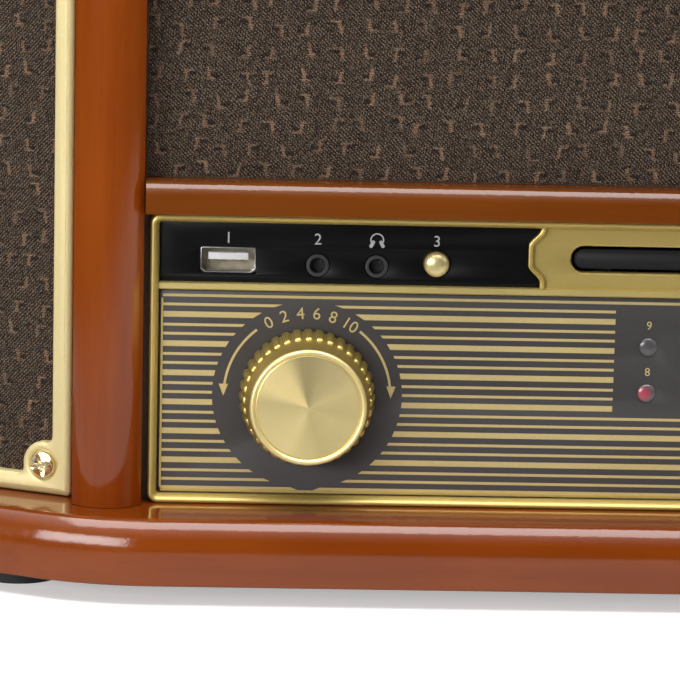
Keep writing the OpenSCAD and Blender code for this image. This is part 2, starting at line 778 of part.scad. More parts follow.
module dial_plate() {
    color("dimgray") difference() {
        upright(print_y, baffle_y) polygon(rounded(plate_gap - window_x, plinth_top + rim_w + plate_gap,
            window_x - plate_gap, divider_z - plate_gap, rim_r - 1));
        for (x = [-knob_x, knob_x]) bar_y(x, knob_z, print_y - 1, baffle_y + 1, bush_r + close);
        block([-display_half - close / 2, print_y - 1, knob_z - display_drop - close / 2],
            [display_half + close / 2, baffle_y + 1, knob_z - display_drop + display_h + close / 2]);
        for (i = [0, 1]) bar_y(-lamp_x, knob_z + lamp_rise + i * lamp_pitch,
            print_y - 1, baffle_y + 1, lamp_r + close / 2);
    }
}

module display_window() {
    color("black") {
        block([-display_half, print_y, knob_z - display_drop],
            [display_half, baffle_y + eps, knob_z - display_drop + display_h]);
        block([-display_half - 3, baffle_y, knob_z - display_drop - 1.5],
            [display_half + 3, baffle_y + 5, knob_z - display_drop + display_h + 1.5]);
    }
}

module led_lenses() {
    color("gray") for (i = [0, 1]) translate([-lamp_x, baffle_y + 3, knob_z + lamp_rise + i * lamp_pitch])
        rotate([90, 0, 0]) rotate_extrude() polygon(concat(
            [[0, 0], [lamp_r + 0.7, 0], [lamp_r + 0.7, 3], [lamp_r, 3]],
            [for (k = [0:5]) [lamp_r * cos(k * 18), panel_t + 3 + 0.8 * sin(k * 18)]]));
}

module usb_socket() {
    color("silver") {
        difference() {
            union() {
                block([usb_x - usb_w / 2, print_y + 0.4, row_z - usb_h / 2],
                    [usb_x + usb_w / 2, print_y + usb_d, row_z + usb_h / 2]);
                block([usb_x - usb_w / 2 - 3, baffle_y, row_z - usb_h / 2 - 1],
                    [usb_x + usb_w / 2 + 3, baffle_y + 1.2, row_z + usb_h / 2 + 1]);
            }
            block([usb_x - usb_w / 2 + 0.5, print_y, row_z - usb_h / 2 + 0.5],
                [usb_x + usb_w / 2 - 0.5, print_y + usb_d - 2, row_z + usb_h / 2 - 0.5]);
        }
        block([usb_x - usb_w / 2 + 1.4, print_y + 1.2, row_z + 0.2],
            [usb_x + usb_w / 2 - 1.4, print_y + usb_d - 1, row_z + 2]);
    }
}

module audio_jacks() {
    color("black") for (x = [aux_x, phones_x]) difference() {
        union() {
            bar_y(x, row_z - jack_drop, print_y - 0.5, baffle_y + 1, jack_nose_r);
            block([x - 6, baffle_y, row_z - jack_drop - 3.9], [x + 6, print_y + jack_l + 1,
                row_z - jack_drop + 3.9]);
        }
        bar_y(x, row_z - jack_drop, print_y - 1, print_y + jack_l - 0.5, jack_bore_r);
    }
}

// Distance of a disc button from the middle, counted from 0 at the inner end of its strip
function disc_button_x(i) = strip_mid + (i - 1.5) * disc_button_pitch;

// Domed push button with the collar that keeps it behind its plate
module push_button(x) {
    color("gold") translate([x, baffle_y + close, row_z]) rotate([90, 0, 0]) rotate_extrude() polygon(concat(
        [[0, -4], [1.5, -4], [1.5, -1.2], [button_r + 1, -1.2], [button_r + 1, 0], [button_r, 0]],
        [for (k = [0:5]) [button_r * cos(k * 18),
            panel_t + close + button_proud - 1.2 + 1.2 * sin(k * 18)]]));
}

module function_button() {
    push_button(function_x);
}

module button_open() {
    push_button(disc_button_x(0));
}

module button_play() {
    push_button(disc_button_x(1));
}

module button_stop() {
    push_button(disc_button_x(2));
}

module button_skip() {
    push_button(disc_button_x(3));
}

// Fluted knob on its shaft
module knob(x) {
    face = print_y - knob_l;
    color("gold") difference() {
        union() {
            upright(face + knob_shoulder, print_y - knob_gap - 2)
                translate([x, knob_z]) polygon([for (i = [0:4 * knob_flutes - 1])
                    (knob_r - (i % 4 > 1 ? flute_d : 0)) * [cos(i * 90 / knob_flutes), sin(i * 90 / knob_flutes)]]);
            bar_y(x, knob_z, print_y - knob_gap - 2 - eps, print_y - knob_gap, knob_r + 0.6);
            translate([x, face + knob_shoulder + eps, knob_z]) rotate([90, 0, 0])
                cylinder(h = knob_shoulder + eps, r1 = knob_r - flute_d, r2 = knob_face_r);
        }
        translate([x, face + 0.6, knob_z]) rotate([90, 0, 0]) difference() {
            cylinder(h = 2, r = knob_face_r - 1.6);
            translate([0, 0, -1]) cylinder(h = 1.3, r = knob_face_r - 1.6);
        }
        bar_y(x, knob_z, face + 3, print_y, shaft_r + run);
        bar_y(x, knob_z, print_y - 2.4, print_y, bush_r + 1.5);
    }
}

module volume_knob() {
    knob(-knob_x);
}

module tuning_knob() {
    knob(knob_x);
}

module control_pots() {
    color("silver") for (x = [-knob_x, knob_x]) {
        bar_y(x, knob_z, print_y - knob_l + 3.5, baffle_y, shaft_r);
        bar_y(x, knob_z, print_y - 2, baffle_y + baffle_t + 1, bush_r);
        block([x - pot_w / 2, baffle_y + baffle_t, knob_z - pot_w / 2],
            [x + pot_w / 2, baffle_y + baffle_t + pot_d, knob_z + pot_w / 2]);
    }
}

module tuning_dial() {
    color("gold") difference() {
        union() {
            translate([0, cloth_y, dial_z]) rotate([90, 0, 0]) rotate_extrude() polygon(concat(
                [[dial_r - bezel_w, 0], [dial_r, 0]],
                arc([dial_r - bezel_w / 2, bezel_d - bezel_w / 2], bezel_w / 2, 0, 180)));
            bar_y(0, dial_z, baffle_y - dial_face_t, baffle_y, dial_r - bezel_w / 2 - close);
            difference() {
                bar_y(0, dial_z, cloth_y - eps, baffle_y, dial_r - bezel_w / 2 - close);
                bar_y(0, dial_z, cloth_y - 1, baffle_y - eps, dial_r - bezel_w - eps);
            }
        }
        bar_y(0, dial_z, cloth_y - 1, baffle_y + 1, pointer_shaft_r + run);
    }
}

module dial_pointer() {
    color("firebrick") {
        bar_y(0, dial_z, baffle_y - 3.4, baffle_y + 6, pointer_shaft_r);
        bar_y(0, dial_z, baffle_y - 3.6, baffle_y - 2, 3);
        upright(baffle_y - 3, baffle_y - 2.2) translate([0, dial_z])
            polygon([[-1.2, -6], [1.2, -6], [0.4, pointer_l], [-0.4, pointer_l]]);
        bar_y(0, dial_z, baffle_y + 3, baffle_y + 6, drum_r);
    }
}

module cd_tray() {
    color("dimgray") difference() {
        union() {
            upright(tray_front, tray_front + 3) polygon(rounded(tray_gap - slot_half, tray_z0,
                slot_half - tray_gap, tray_z1, (tray_z1 - tray_z0) / 2 - eps));
            block([-tray_half, tray_front + 2, tray_z0], [tray_half, tray_front + tray_l, tray_z1 - 1.6]);
        }
        translate([0, disc_y, tray_z1 - 1.6 - disc_sink]) cylinder(h = disc_sink + 3, r = disc_r);
        translate([0, disc_y, tray_z0 - 1]) cylinder(h = slot_h + 2, r = hub_slot);
        block([-hub_slot, disc_y, tray_z0 - 1], [hub_slot, tray_front + tray_l + 1, tray_z1 + 1]);
    }
}

module cd_mechanism() {
    wall_x = tray_half + close;
    y0 = baffle_y + baffle_t + 8;
    y1 = tray_front + tray_l + 6;
    floor_z = tray_z0 - close - drive_h;
    color("silver") difference() {
        union() {
            block([-wall_x - drive_wall, y0, floor_z], [wall_x + drive_wall, y1, tray_z1]);
            both_sides() for (y = [y0, y1 - 8]) block([wall_x, y, plinth_top],
                [wall_x + drive_wall, y + 8, floor_z + eps]);
        }
        block([-wall_x, y0 - 1, tray_z0 - close], [wall_x, y1 + 1, tray_z1 + 1]);
        block([8 - wall_x, y0 - 1, floor_z + 2], [wall_x - 8, y1 - 3, tray_z1 + 1]);
        translate([0, disc_y, floor_z - 1]) cylinder(h = 4, r = 4 + run);
    }
    color("silver") difference() {
        block([-20, disc_y - 20, floor_z + 2 - eps], [20, disc_y + 20, floor_z + drive_h - 8]);
        translate([0, disc_y, floor_z]) cylinder(h = drive_h, r = 4 + run);
    }
}

module cd_hub() {
    floor_z = tray_z0 - close - drive_h;
    color("dimgray") translate([0, disc_y, 0]) {
        translate([0, 0, floor_z + 1]) cylinder(h = drive_h, r = 4);
        translate([0, 0, floor_z + drive_h - 6]) cylinder(h = 8.6, r = hub_r);
        translate([0, 0, floor_z + drive_h + 2]) cylinder(h = 2.4, r1 = 7.4, r2 = 6);
    }
}

module turntable_deck() {
    color("dimgray") difference() {
        translate([0, 0, cab_top]) linear_extrude(deck_t)
            polygon(plan(side_inset + frame_w + close, cab_back - frame_w - close, frame_back_r));
        translate([-spindle_x, -spindle_y, cab_top - 1]) cylinder(h = deck_t + 2, r = stem_r + close);
        translate([motor_x, motor_y, cab_top - 1]) cylinder(h = deck_t + 2, r = 4);
        block([speed_x - 1.8, -speed_y - 3.5, cab_top - 1],
            [speed_x + 1.8, speed_travel - speed_y + 3.5, deck_top + 1]);
    }
}

module platter() {
    color("silver") translate([-spindle_x, -spindle_y, platter_z]) rotate_extrude($fn = 128) polygon([
        [bearing_r + run, 0], [10, 0], [10, platter_h - platter_t],
        [ring_r - 4, platter_h - platter_t], [ring_r - 4, 1], [ring_r, 1],
        [ring_r, platter_h - platter_t], [platter_r - 4, platter_h - platter_t], [platter_r - 4, 0],
        [platter_r, 0], [platter_r, platter_h - 1], [platter_r - 1, platter_h], [bearing_r + run, platter_h]]);
}

module slip_mat() {
    color("black") translate([-spindle_x, -spindle_y, platter_top]) difference() {
        cylinder(h = mat_t, r = platter_r - 2, $fn = 128);
        translate([0, 0, -1]) cylinder(h = mat_t + 2, r = bearing_r + close);
    }
}

module platter_spindle() {
    color("silver") translate([-spindle_x, -spindle_y, 0]) {
        translate([0, 0, cab_top - stem_l]) cylinder(h = stem_l + deck_t + eps, r = stem_r);
        translate([0, 0, deck_top]) cylinder(h = platter_gap / 2, r = stem_r + 6);
        translate([0, 0, deck_top]) cylinder(h = platter_gap - close, r = stem_r);
        translate([0, 0, deck_top]) cylinder(h = mat_top - deck_top - 0.2, r = bearing_r);
        translate([0, 0, deck_top]) cylinder(h = pin_top - deck_top - 2, r = pin_r);
        translate([0, 0, pin_top - 2 - eps]) cylinder(h = 2, r1 = pin_r, r2 = pin_r - 1.6);
    }
}

// Outline of an open belt round a wheel of radius ra at the origin and one of radius rb at distance c
function belt_line(ra, rb, c) = let (b = acos((ra - rb) / c)) concat(
    arc([0, 0], ra, b, 360 - b, 48), arc([c, 0], rb, -b, b, 12));

module drive_belt() {
    color("black") translate([-spindle_x, -spindle_y, belt_z]) rotate([0, 0, motor_a]) difference() {
        linear_extrude(belt_h) polygon(belt_line(ring_r + belt_gap + belt_t, pulley_r + belt_gap + belt_t,
            motor_reach));
        translate([0, 0, -1]) linear_extrude(belt_h + 2)
            polygon(belt_line(ring_r + belt_gap, pulley_r + belt_gap, motor_reach));
    }
}

module platter_motor() {
    color("silver") translate([motor_x, motor_y, 0]) {
        translate([0, 0, cab_top - motor_h]) cylinder(h = motor_h, r = motor_r);
        translate([0, 0, cab_top - eps]) cylinder(h = belt_z + belt_h - cab_top, r = pivot_r);
    }
}

module motor_pulley() {
    color("gold") translate([motor_x, motor_y, deck_top + 1]) difference() {
        union() {
            cylinder(h = belt_z + belt_h - deck_top, r = pulley_r);
            cylinder(h = belt_z - deck_top - 1 - close, r = pulley_r + 1.2);
        }
        translate([0, 0, -1]) cylinder(h = belt_z + belt_h - deck_top + 2, r = pivot_r + run);
    }
}

module tonearm_base() {
    color("dimgray") {
        translate([arm_x, arm_y, 0]) {
            translate([0, 0, deck_top]) cylinder(h = 4, r = post_r + 7);
            translate([0, 0, deck_top]) cylinder(h = post_top - deck_top, r = post_r);
            translate([0, 0, deck_top]) cylinder(h = post_top + 2.4 - deck_top, r = 3);
            difference() {
                hull() {
                    rotate([0, 0, lift_a]) translate([lift_r, 0, deck_top]) cylinder(h = 10, r = 5, $fn = 32);
                    translate([0, 0, deck_top]) cylinder(h = 10, r = 5, $fn = 32);
                }
                rotate([0, 0, lift_a]) translate([lift_r, 0, deck_top + 2]) cylinder(h = 12, r = 2 + run);
            }
            block([0, -12, deck_top], [cue_dx - 3.4, -2, deck_top + 13]);
            bar_x(cue_dx - 4, cue_dx + 4, -7, deck_top + 8.5, 2);
        }
        translate([arm_x, arm_y - rest_reach, 0]) difference() {
            union() {
                translate([0, 0, deck_top]) cylinder(h = 3, r = 9);
                block([-5, -4, deck_top], [7, 4, arm_z + 2]);
            }
            block([-6, -5, arm_z - arm_r - close], [arm_r + close, 5, arm_z + 3]);
        }
    }
}

module tonearm_gimbal() {
    color("silver") translate([arm_x, arm_y, 0]) {
        difference() {
            translate([0, 0, post_top + close]) cylinder(h = 3, r = 12);
            translate([0, 0, post_top]) cylinder(h = 4, r = 3 + run);
        }
        for (s = [-1, 1]) {
            block([s * 10.5 - 1.5, -4, post_top + 2], [s * 10.5 + 1.5, 4, arm_z + 5]);
            bar_x(s * 8 - 2.2, s * 8 + 2.2, 0, arm_z, pivot_r);
        }
    }
}

module tonearm() {
    color("silver") translate([arm_x, arm_y, arm_z]) {
        difference() {
            block([-8, -7, -5], [8, 7, 5]);
            for (s = [-1, 1]) bar_x(s * 7 - 1.5, s * 7 + 1.5, 0, 0, pivot_r + run);
        }
        bar_y(0, 0, shell_l - arm_l - 6, -6, arm_r);
        bar_y(0, 0, 6, 36, arm_r);
        block([-shell_w / 2, -arm_l - 6, -1.5], [shell_w / 2, shell_l - arm_l - 6, 1]);
        block([-shell_w / 2 + 2, -arm_l - 4, -5], [shell_w / 2 - 2, shell_l - arm_l - 10, -1.5 + eps]);
        translate([0, -arm_l, -6.8]) cylinder(h = 2, r1 = 0.3, r2 = 1);
    }
}

module counterweight() {
    color("silver") translate([arm_x, arm_y, arm_z]) difference() {
        bar_y(0, 0, 17, 17 + weight_l, weight_r);
        bar_y(0, 0, 16, 18 + weight_l, arm_r + run);
    }
}

module cue_lever() {
    color("gold") translate([arm_x + cue_dx, arm_y - 7, deck_top + 8.5]) {
        difference() {
            bar_x(-3, 3, 0, 0, 4.5);
            bar_x(-4, 4, 0, 0, 2 + run);
        }
        block([-2, -cue_l, -1.5], [2, -4, 1.5]);
        translate([0, -cue_l, 0]) sphere(r = 3.4, $fn = 32);
    }
}

module lift_platform() {
    color("dimgray") translate([arm_x, arm_y, 0]) {
        translate([0, 0, arm_z - arm_r - close - 2.4]) rotate([0, 0, -90 - 54])
            rotate_extrude(angle = 56, $fn = 96) translate([lift_r - 2.5, 0]) square([5, 2.4]);
        rotate([0, 0, lift_a]) translate([lift_r, 0, deck_top + 3])
            cylinder(h = arm_rise - arm_r - close - 4, r = 2);
    }
}

module speed_selector() {
    color("dimgray") {
        block([speed_x - 4, -speed_y - 3, deck_top + close], [speed_x + 4, 3 - speed_y, deck_top + 4.5]);
        block([speed_x - 1.5, -speed_y - 3, cab_top - 3], [speed_x + 1.5, 3 - speed_y, deck_top + 1]);
    }
}

module lid() {
    color("saddlebrown") difference() {
        rounded_slab(lid_inset, lid_back, frame_back_r, lid_base, lid_base + lid_h, lid_round);
        translate([0, 0, lid_base - 1]) linear_extrude(lid_h - lid_top + 1)
            polygon(plan(lid_inset + lid_wall, lid_back - lid_wall, frame_back_r));
    }
}

// Knuckle stretch of one hinge along X
module knuckle(x0, x1, bore) {
    difference() {
        bar_x(x0, x1, hinge_y, lid_base, knuckle_r);
        if (bore > 0) bar_x(x0 - 1, x1 + 1, hinge_y, lid_base, bore);
    }
}

module hinge_leaves_fixed() {
    third = hinge_l / 3;
    color("gold") for (c = [-hinge_x, hinge_x]) translate([c - hinge_l / 2, 0, 0]) {
        block([0, cab_back, lid_base - 3 - leaf_h], [hinge_l, cab_back + leaf_t, lid_base - 3]);
        for (x = [0, 2 * third]) {
            block([x, cab_back, lid_base - 4], [x + third, hinge_y, lid_base - 1.4]);
            knuckle(x, x + third, 0);
        }
        bar_x(third / 2, 2.5 * third, hinge_y, lid_base, hinge_pin_r);
    }
}

module hinge_leaves_moving() {
    third = hinge_l / 3;
    color("gold") for (c = [-hinge_x, hinge_x]) translate([c - hinge_l / 2, 0, 0]) {
        block([0, lid_back, lid_base + 3.5], [hinge_l, lid_back + leaf_t, lid_base + 3.5 + leaf_h]);
        difference() {
            union() {
                block([third + close, lid_back, lid_base + 1], [2 * third - close, hinge_y, lid_base + 4]);
                bar_x(third + close, 2 * third - close, hinge_y, lid_base, knuckle_r);
            }
            bar_x(third, 2 * third, hinge_y, lid_base, hinge_pin_r + run);
        }
    }
}

module speakers() {
    mid = (wing_z0 + wing_z1) / 2;
    color("dimgray") wings() difference() {
        union() {
            bar_y(wing_mid, mid, wing_depth, wing_depth + 2.5, speaker_r);
            translate([wing_mid, wing_depth + 2.5 - eps, mid]) rotate([-90, 0, 0])
                cylinder(h = speaker_d - 15, r1 = speaker_r - 2, r2 = magnet_r - 4);
            bar_y(wing_mid, mid, wing_depth + speaker_d - 13, wing_depth + speaker_d, magnet_r);
        }
        translate([wing_mid, wing_depth - eps, mid]) rotate([-90, 0, 0])
            cylinder(h = speaker_d - 16, r1 = speaker_r - 4, r2 = magnet_r - 8);
    }
}

module main_board() {
    z = plinth_top + board_post;
    t = 1.6;
    color("seagreen") {
        for (x = [-1, 1]) for (y = [-1, 1])
            translate([x * (board_w / 2 - 6), y * (board_d / 2 - 6), plinth_top])
                cylinder(h = board_post + eps, r = 3);
        block([-board_w / 2, -board_d / 2, z], [board_w / 2, board_d / 2, z + t]);
        for (i = [-1.5:1.5]) translate([i * board_w / 4.5, board_d / 9, z + t - eps])
            cylinder(h = board_part_h, r = board_w / 22);
        block([-board_w * 0.36, -board_d / 3, z + t - eps], [board_w * 0.1, -board_d / 5, z + t + board_part_h]);
    }
}

module transformer() {
    core = trafo_d * 0.3;
    color("dimgray") translate([-inlet_x, trafo_y, plinth_top]) {
        block([-trafo_w * 0.65, -core - 2, 0], [trafo_w * 0.65, core + 2, 2]);
        block([-trafo_w / 2, -core, 1], [trafo_w / 2, core, trafo_w * 0.8]);
        block([-trafo_w / 3, -trafo_d / 2, trafo_w * 0.15], [trafo_w / 3, trafo_d / 2, trafo_w * 0.65]);
    }
}

module mains_inlet() {
    z = plinth_top + inlet_rise;
    color("black") difference() {
        union() {
            block([-inlet_x - 17, cab_back, z - 12], [17 - inlet_x, cab_back + 2, z + 12]);
            block([-inlet_x - 13, cab_back - inlet_d - 2, z - 9], [13 - inlet_x, cab_back + eps, z + 9]);
        }
        translate([-inlet_x, 0, z]) upright(cab_back + 2 - inlet_d, cab_back + 3)
            polygon(rounded(-8.5, -4.6, 8.5, 4.6, 4.5));
    }
    color("silver") for (i = [-1, 1]) bar_y(i * 4.3 - inlet_x, z, cab_back - inlet_d,
        cab_back - 3.4, 1.2);
}

module rca_sockets() {
    z = plinth_top + rca_rise;
    color("gold") difference() {
        union() {
            block([rca_x - rca_pitch / 2 - 9, cab_back, z - 9], [rca_x + rca_pitch / 2 + 9, cab_back + 1.5, z + 9]);
            for (i = [-1, 1]) bar_y(rca_x + i * rca_pitch / 2, z, cab_back - back_t - 4,
                cab_back + 1.5 + rca_l, rca_r);
        }
        for (i = [-1, 1]) bar_y(rca_x + i * rca_pitch / 2, z, cab_back - back_t, cab_back + 3 + rca_l, 1.6);
    }
}

module cassette_bezel() {
    color("black") difference() {
        block([side_out, -tape_y - tape_margin, tape_z - tape_margin],
            [side_out + tape_bezel_t, eject_y + eject_r + tape_margin, tape_z + tape_h + tape_margin]);
        block([side_out - 1, -tape_y, tape_z], [side_out + tape_bezel_t + 1, tape_w - tape_y, tape_z + tape_h]);
        bar_x(side_out - 1, side_out + tape_bezel_t + 1, eject_y, tape_z + tape_h / 2, eject_r + close);
    }
}

module cassette_mechanism() {
    color("silver") difference() {
        block([case_in, -tape_y - tape_wall, tape_z - tape_wall],
            [side_out, tape_w - tape_y + tape_wall, tape_z + tape_h + tape_wall]);
        block([side_out - tape_d, -tape_y, tape_z], [side_out + 1, tape_w - tape_y, tape_z + tape_h]);
        for (y = [-tape_y - tape_wall - 1, tape_w - tape_y - 1]) translate([side_out - 2.5, y,
            tape_z + tape_h - 2.5]) rotate([-90, 0, 0]) cylinder(h = tape_wall + 2, r = 1 + run);
    }
}

module cassette_flap() {
    color("dimgray") {
        block([side_out - 2.5 - flap_t / 2, close - tape_y, tape_z + close],
            [side_out - 2.5 + flap_t / 2, tape_w - tape_y - close, tape_z + tape_h - 2.5]);
        bar_y(side_out - 2.5, tape_z + tape_h - 2.5, -tape_y - 2, tape_w - tape_y + 2, 1);
    }
}

module cassette_button() {
    color("silver") {
        bar_x(side_out - 6, side_out + tape_bezel_t + 3, eject_y, tape_z + tape_h / 2, eject_r);
        bar_x(side_out - 3, side_out - close, eject_y, tape_z + tape_h / 2, eject_r + 0.9);
    }
}

plinth();
rubber_feet();
side_panel_left();
side_panel_right();
back_panel();
front_baffle();
columns();
centre_rail();
top_frame();
wing_baffles();
wing_cloths();
wing_frames();
wing_screws();
centre_cloth();
control_frame();
input_plates();
dial_plate();
display_window();
led_lenses();
usb_socket();
audio_jacks();
function_button();
volume_knob();
tuning_knob();
control_pots();
tuning_dial();
dial_pointer();
button_open();
button_play();
button_stop();
button_skip();
cd_tray();
cd_mechanism();
cd_hub();
turntable_deck();
platter();
slip_mat();
platter_spindle();
drive_belt();
platter_motor();
motor_pulley();
tonearm_base();
tonearm_gimbal();
tonearm();
counterweight();
cue_lever();
lift_platform();
speed_selector();
lid();
hinge_leaves_fixed();
hinge_leaves_moving();
speakers();
main_board();
transformer();
mains_inlet();
rca_sockets();
cassette_bezel();
cassette_flap();
cassette_button();
cassette_mechanism();
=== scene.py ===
"""Looks of a stereo music centre with swept speaker wings, a control panel and a record player under its lid.

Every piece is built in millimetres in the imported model's own frame: X to the right, Y to the back, Z up.
"""
import functools
import logging
import math
from dataclasses import dataclass, field
from enum import Enum
from typing import Callable, Iterable, NamedTuple, Sequence

import bmesh
import bpy
from mathutils import Matrix, Vector
from mathutils.geometry import tessellate_polygon


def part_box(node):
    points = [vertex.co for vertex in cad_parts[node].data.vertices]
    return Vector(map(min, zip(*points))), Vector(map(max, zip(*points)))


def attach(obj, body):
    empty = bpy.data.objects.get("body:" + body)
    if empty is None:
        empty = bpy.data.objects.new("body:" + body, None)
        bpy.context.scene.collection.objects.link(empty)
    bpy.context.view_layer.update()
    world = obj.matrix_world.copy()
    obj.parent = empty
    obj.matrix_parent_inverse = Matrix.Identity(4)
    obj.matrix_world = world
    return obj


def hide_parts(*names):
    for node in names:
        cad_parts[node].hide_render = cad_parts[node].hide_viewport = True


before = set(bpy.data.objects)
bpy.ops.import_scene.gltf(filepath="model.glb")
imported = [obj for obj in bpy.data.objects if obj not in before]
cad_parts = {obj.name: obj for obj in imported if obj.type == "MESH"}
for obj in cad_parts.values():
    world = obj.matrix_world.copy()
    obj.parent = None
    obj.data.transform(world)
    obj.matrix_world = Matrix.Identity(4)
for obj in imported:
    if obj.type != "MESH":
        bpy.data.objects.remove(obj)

log = logging.getLogger("music_centre")
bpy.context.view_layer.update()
MM = 0.001
PRINT_T = 0.03
GAP = 0.05
Point2 = tuple[float, float]
Point3 = tuple[float, float, float]
Colour = tuple[float, float, float]
Outline = Sequence[Point2]
Place = Callable[[float, float, float], Point3]
Pattern = Callable[[Vector], Point2]
Socket, Node, NodeTree = bpy.types.NodeSocket, bpy.types.Node, bpy.types.NodeTree
Mesh = bpy.types.Mesh


@dataclass(frozen=True)
class Layout:
    """Sizes that more than one sub-assembly shares, in millimetres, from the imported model's source."""

    width: float = 530.0
    front: float = -172.5
    back: float = 172.5
    sweep_x: float = 185.5
    sweep_r: float = 65.0
    sweep_a: float = 27.0
    corner_r: float = 24.0
    foot_h: float = 5.0
    plinth_top: float = 21.0
    print_y: float = -148.1
    baffle_y: float = -145.0
    cloth_y: float = -146.2
    cab_top: float = 178.0
    rim_top: float = 190.0
    cab_back: float = 160.0
    side_inset: float = 12.0
    ctl_half: float = 172.05
    ctl_top: float = 93.1
    rail_z: float = 93.5
    rail_top: float = 101.5
    col_in: float = 173.5
    col_out: float = 190.5
    wing_x: float = 190.7
    wing_y: float = -147.8
    knob_x: float = 133.0
    knob_z: float = 48.2
    row_z: float = 81.6
    usb_x: float = -153.0
    jack_x: Point2 = (-131.1, -116.6)
    function_x: float = -101.9
    lamp_x: float = -48.8
    lamp_z: Point2 = (50.2, 61.8)
    dial_z: float = 141.0
    spindle: Point2 = (-60.0, -1.5)


LAY = Layout()


# ---------------------------------------------------------------- flat outlines
def cosd(a: float) -> float:
    """Cosine of an angle in degrees."""
    return math.cos(math.radians(a))


def sind(a: float) -> float:
    """Sine of an angle in degrees."""
    return math.sin(math.radians(a))


def arc(centre: Point2, r: float, a0: float, a1: float, n: int, high: float = 0.0) -> list[Point2]:
    """Points of an arc about a centre.

    Args:
        centre: The arc's centre.
        r: Its radius.
        a0, a1: Start and end angles in degrees.
        n: Number of straight steps.
        high: Radius along the second axis, if the arc is an ellipse's.

    Returns:
        n + 1 points.
    """
    angles = [a0 + (a1 - a0) * i / n for i in range(n + 1)]
    return [(centre[0] + r * cosd(a), centre[1] + (high or r) * sind(a)) for a in angles]


def rounded(x0: float, y0: float, x1: float, y1: float, r: float, n: int = 8) -> list[Point2]:
    """Rectangle with rounded corners, anticlockwise.

    Args:
        x0, y0: Lower left corner.
        x1, y1: Upper right corner.
        r: Corner radius.
        n: Steps of each corner.

    Returns:
        The closed outline's points.
    """
    return (arc((x1 - r, y1 - r), r, 0, 90, n) + arc((x0 + r, y1 - r), r, 90, 180, n)
            + arc((x0 + r, y0 + r), r, 180, 270, n) + arc((x1 - r, y0 + r), r, 270, 360, n))


def circle(centre: Point2, r: float, n: int = 48) -> list[Point2]:
    """Closed circle, anticlockwise."""
    return arc(centre, r, 0, 360 - 360 / n, n - 1)


def star(r: float, n: int, waist: float, power: float, turn: float = 0.0) -> list[Point2]:
    """Outline of a cross recess.

    Args:
        r: Reach of its arms.
        n: Number of points.
        waist: Share of the reach between the arms.
        power: How narrow the arms are.
        turn: Angle in radians between the points and the arms.

    Returns:
        The closed outline, anticlockwise.
    """
    out = []
    for i, (x, y) in enumerate(circle((0.0, 0.0), r, n)):
        share = waist + (1 - waist) * abs(math.cos(4 * math.pi * i / n + 2 * turn)) ** power
        out.append((x * share, y * share))
    return out


def mirrored(loop: Outline) -> list[Point2]:
    """An outline mirrored from right to left, its sense of turn kept."""
    return [(-x, y) for x, y in reversed(loop)]


def offset(loop: Outline, d: float) -> list[Point2]:
    """Moves a closed outline to its left by d, with mitred corners.

    Args:
        loop: The closed outline.
        d: Distance; inwards on an anticlockwise outline.

    Returns:
        As many points as the outline has.
    """
    out = []
    n = len(loop)
    for i in range(n):
        p, a, b = Vector(loop[i]), Vector(loop[i - 1]), Vector(loop[(i + 1) % n])
        e0, e1 = (p - a).normalized(), (b - p).normalized()
        m = Vector((-e0.y - e1.y, e0.x + e1.x))
        if m.length < 1e-6:
            m = Vector((-e0.y, e0.x))
        m.normalize()
        k = max(m.dot(Vector((-e0.y, e0.x))), 0.4)
        out.append(tuple(p + m * (d / k)))
    return out


def plan(d: float, yb: float, rb: float, n: int = 24) -> list[Point2]:
    """The cabinet's outline seen from above, drawn in by d from the plinth's edge.

    Args:
        d: Distance in from the plinth's edge.
        yb: Depth of the back edge.
        rb: Radius of the back corners.
        n: Steps of the swept turns.

    Returns:
        The closed outline, anticlockwise.
    """
    a = LAY.sweep_a
    half = math.tan(math.radians(a / 2))
    vx, vy, r1 = LAY.sweep_x - d * half, LAY.front + d, LAY.sweep_r - d
    hx = LAY.width / 2 - d
    cy = vy + (hx - vx) * math.tan(math.radians(a))
    r2 = max(LAY.corner_r - d, 2.0)
    right = (arc((vx - r1 * half, vy + r1), r1, -90, a - 90, n)
             + arc((hx - r2, cy + r2 * math.tan(math.radians((90 - a) / 2))), r2, a - 90, 0, n)
             + arc((hx - rb, yb - rb), rb, 0, 90, 6))
    return right + mirrored(right)


def front(u: float, d: float, v: float) -> Point3:
    """Maps a front view's (u, depth, v) to X, Y and Z."""
    return (u, d, v)


def level(u: float, d: float, v: float) -> Point3:
    """Maps a plan's (u, height, v) to X, Y and Z."""
    return (u, v, d)


def wing(side: int) -> Place:
    """Maps (along the wing, depth into it, height) to X, Y and Z on one side, 1 right and -1 left."""
    c, s = cosd(LAY.sweep_a), sind(LAY.sweep_a)
    return lambda u, d, v: (side * (LAY.wing_x + u * c - d * s), LAY.wing_y + u * s + d * c, v)


def raised(outline: Outline, z: float) -> list[Point3]:
    """A plan's outline at a height."""
    return [(x, y, z) for x, y in outline]


def shifted(place: Place, u0: float, v0: float, d0: float = 0.0) -> Place:
    """The same mapping, with its origin moved."""
    return lambda u, d, v: place(u0 + u, d0 + d, v0 + v)


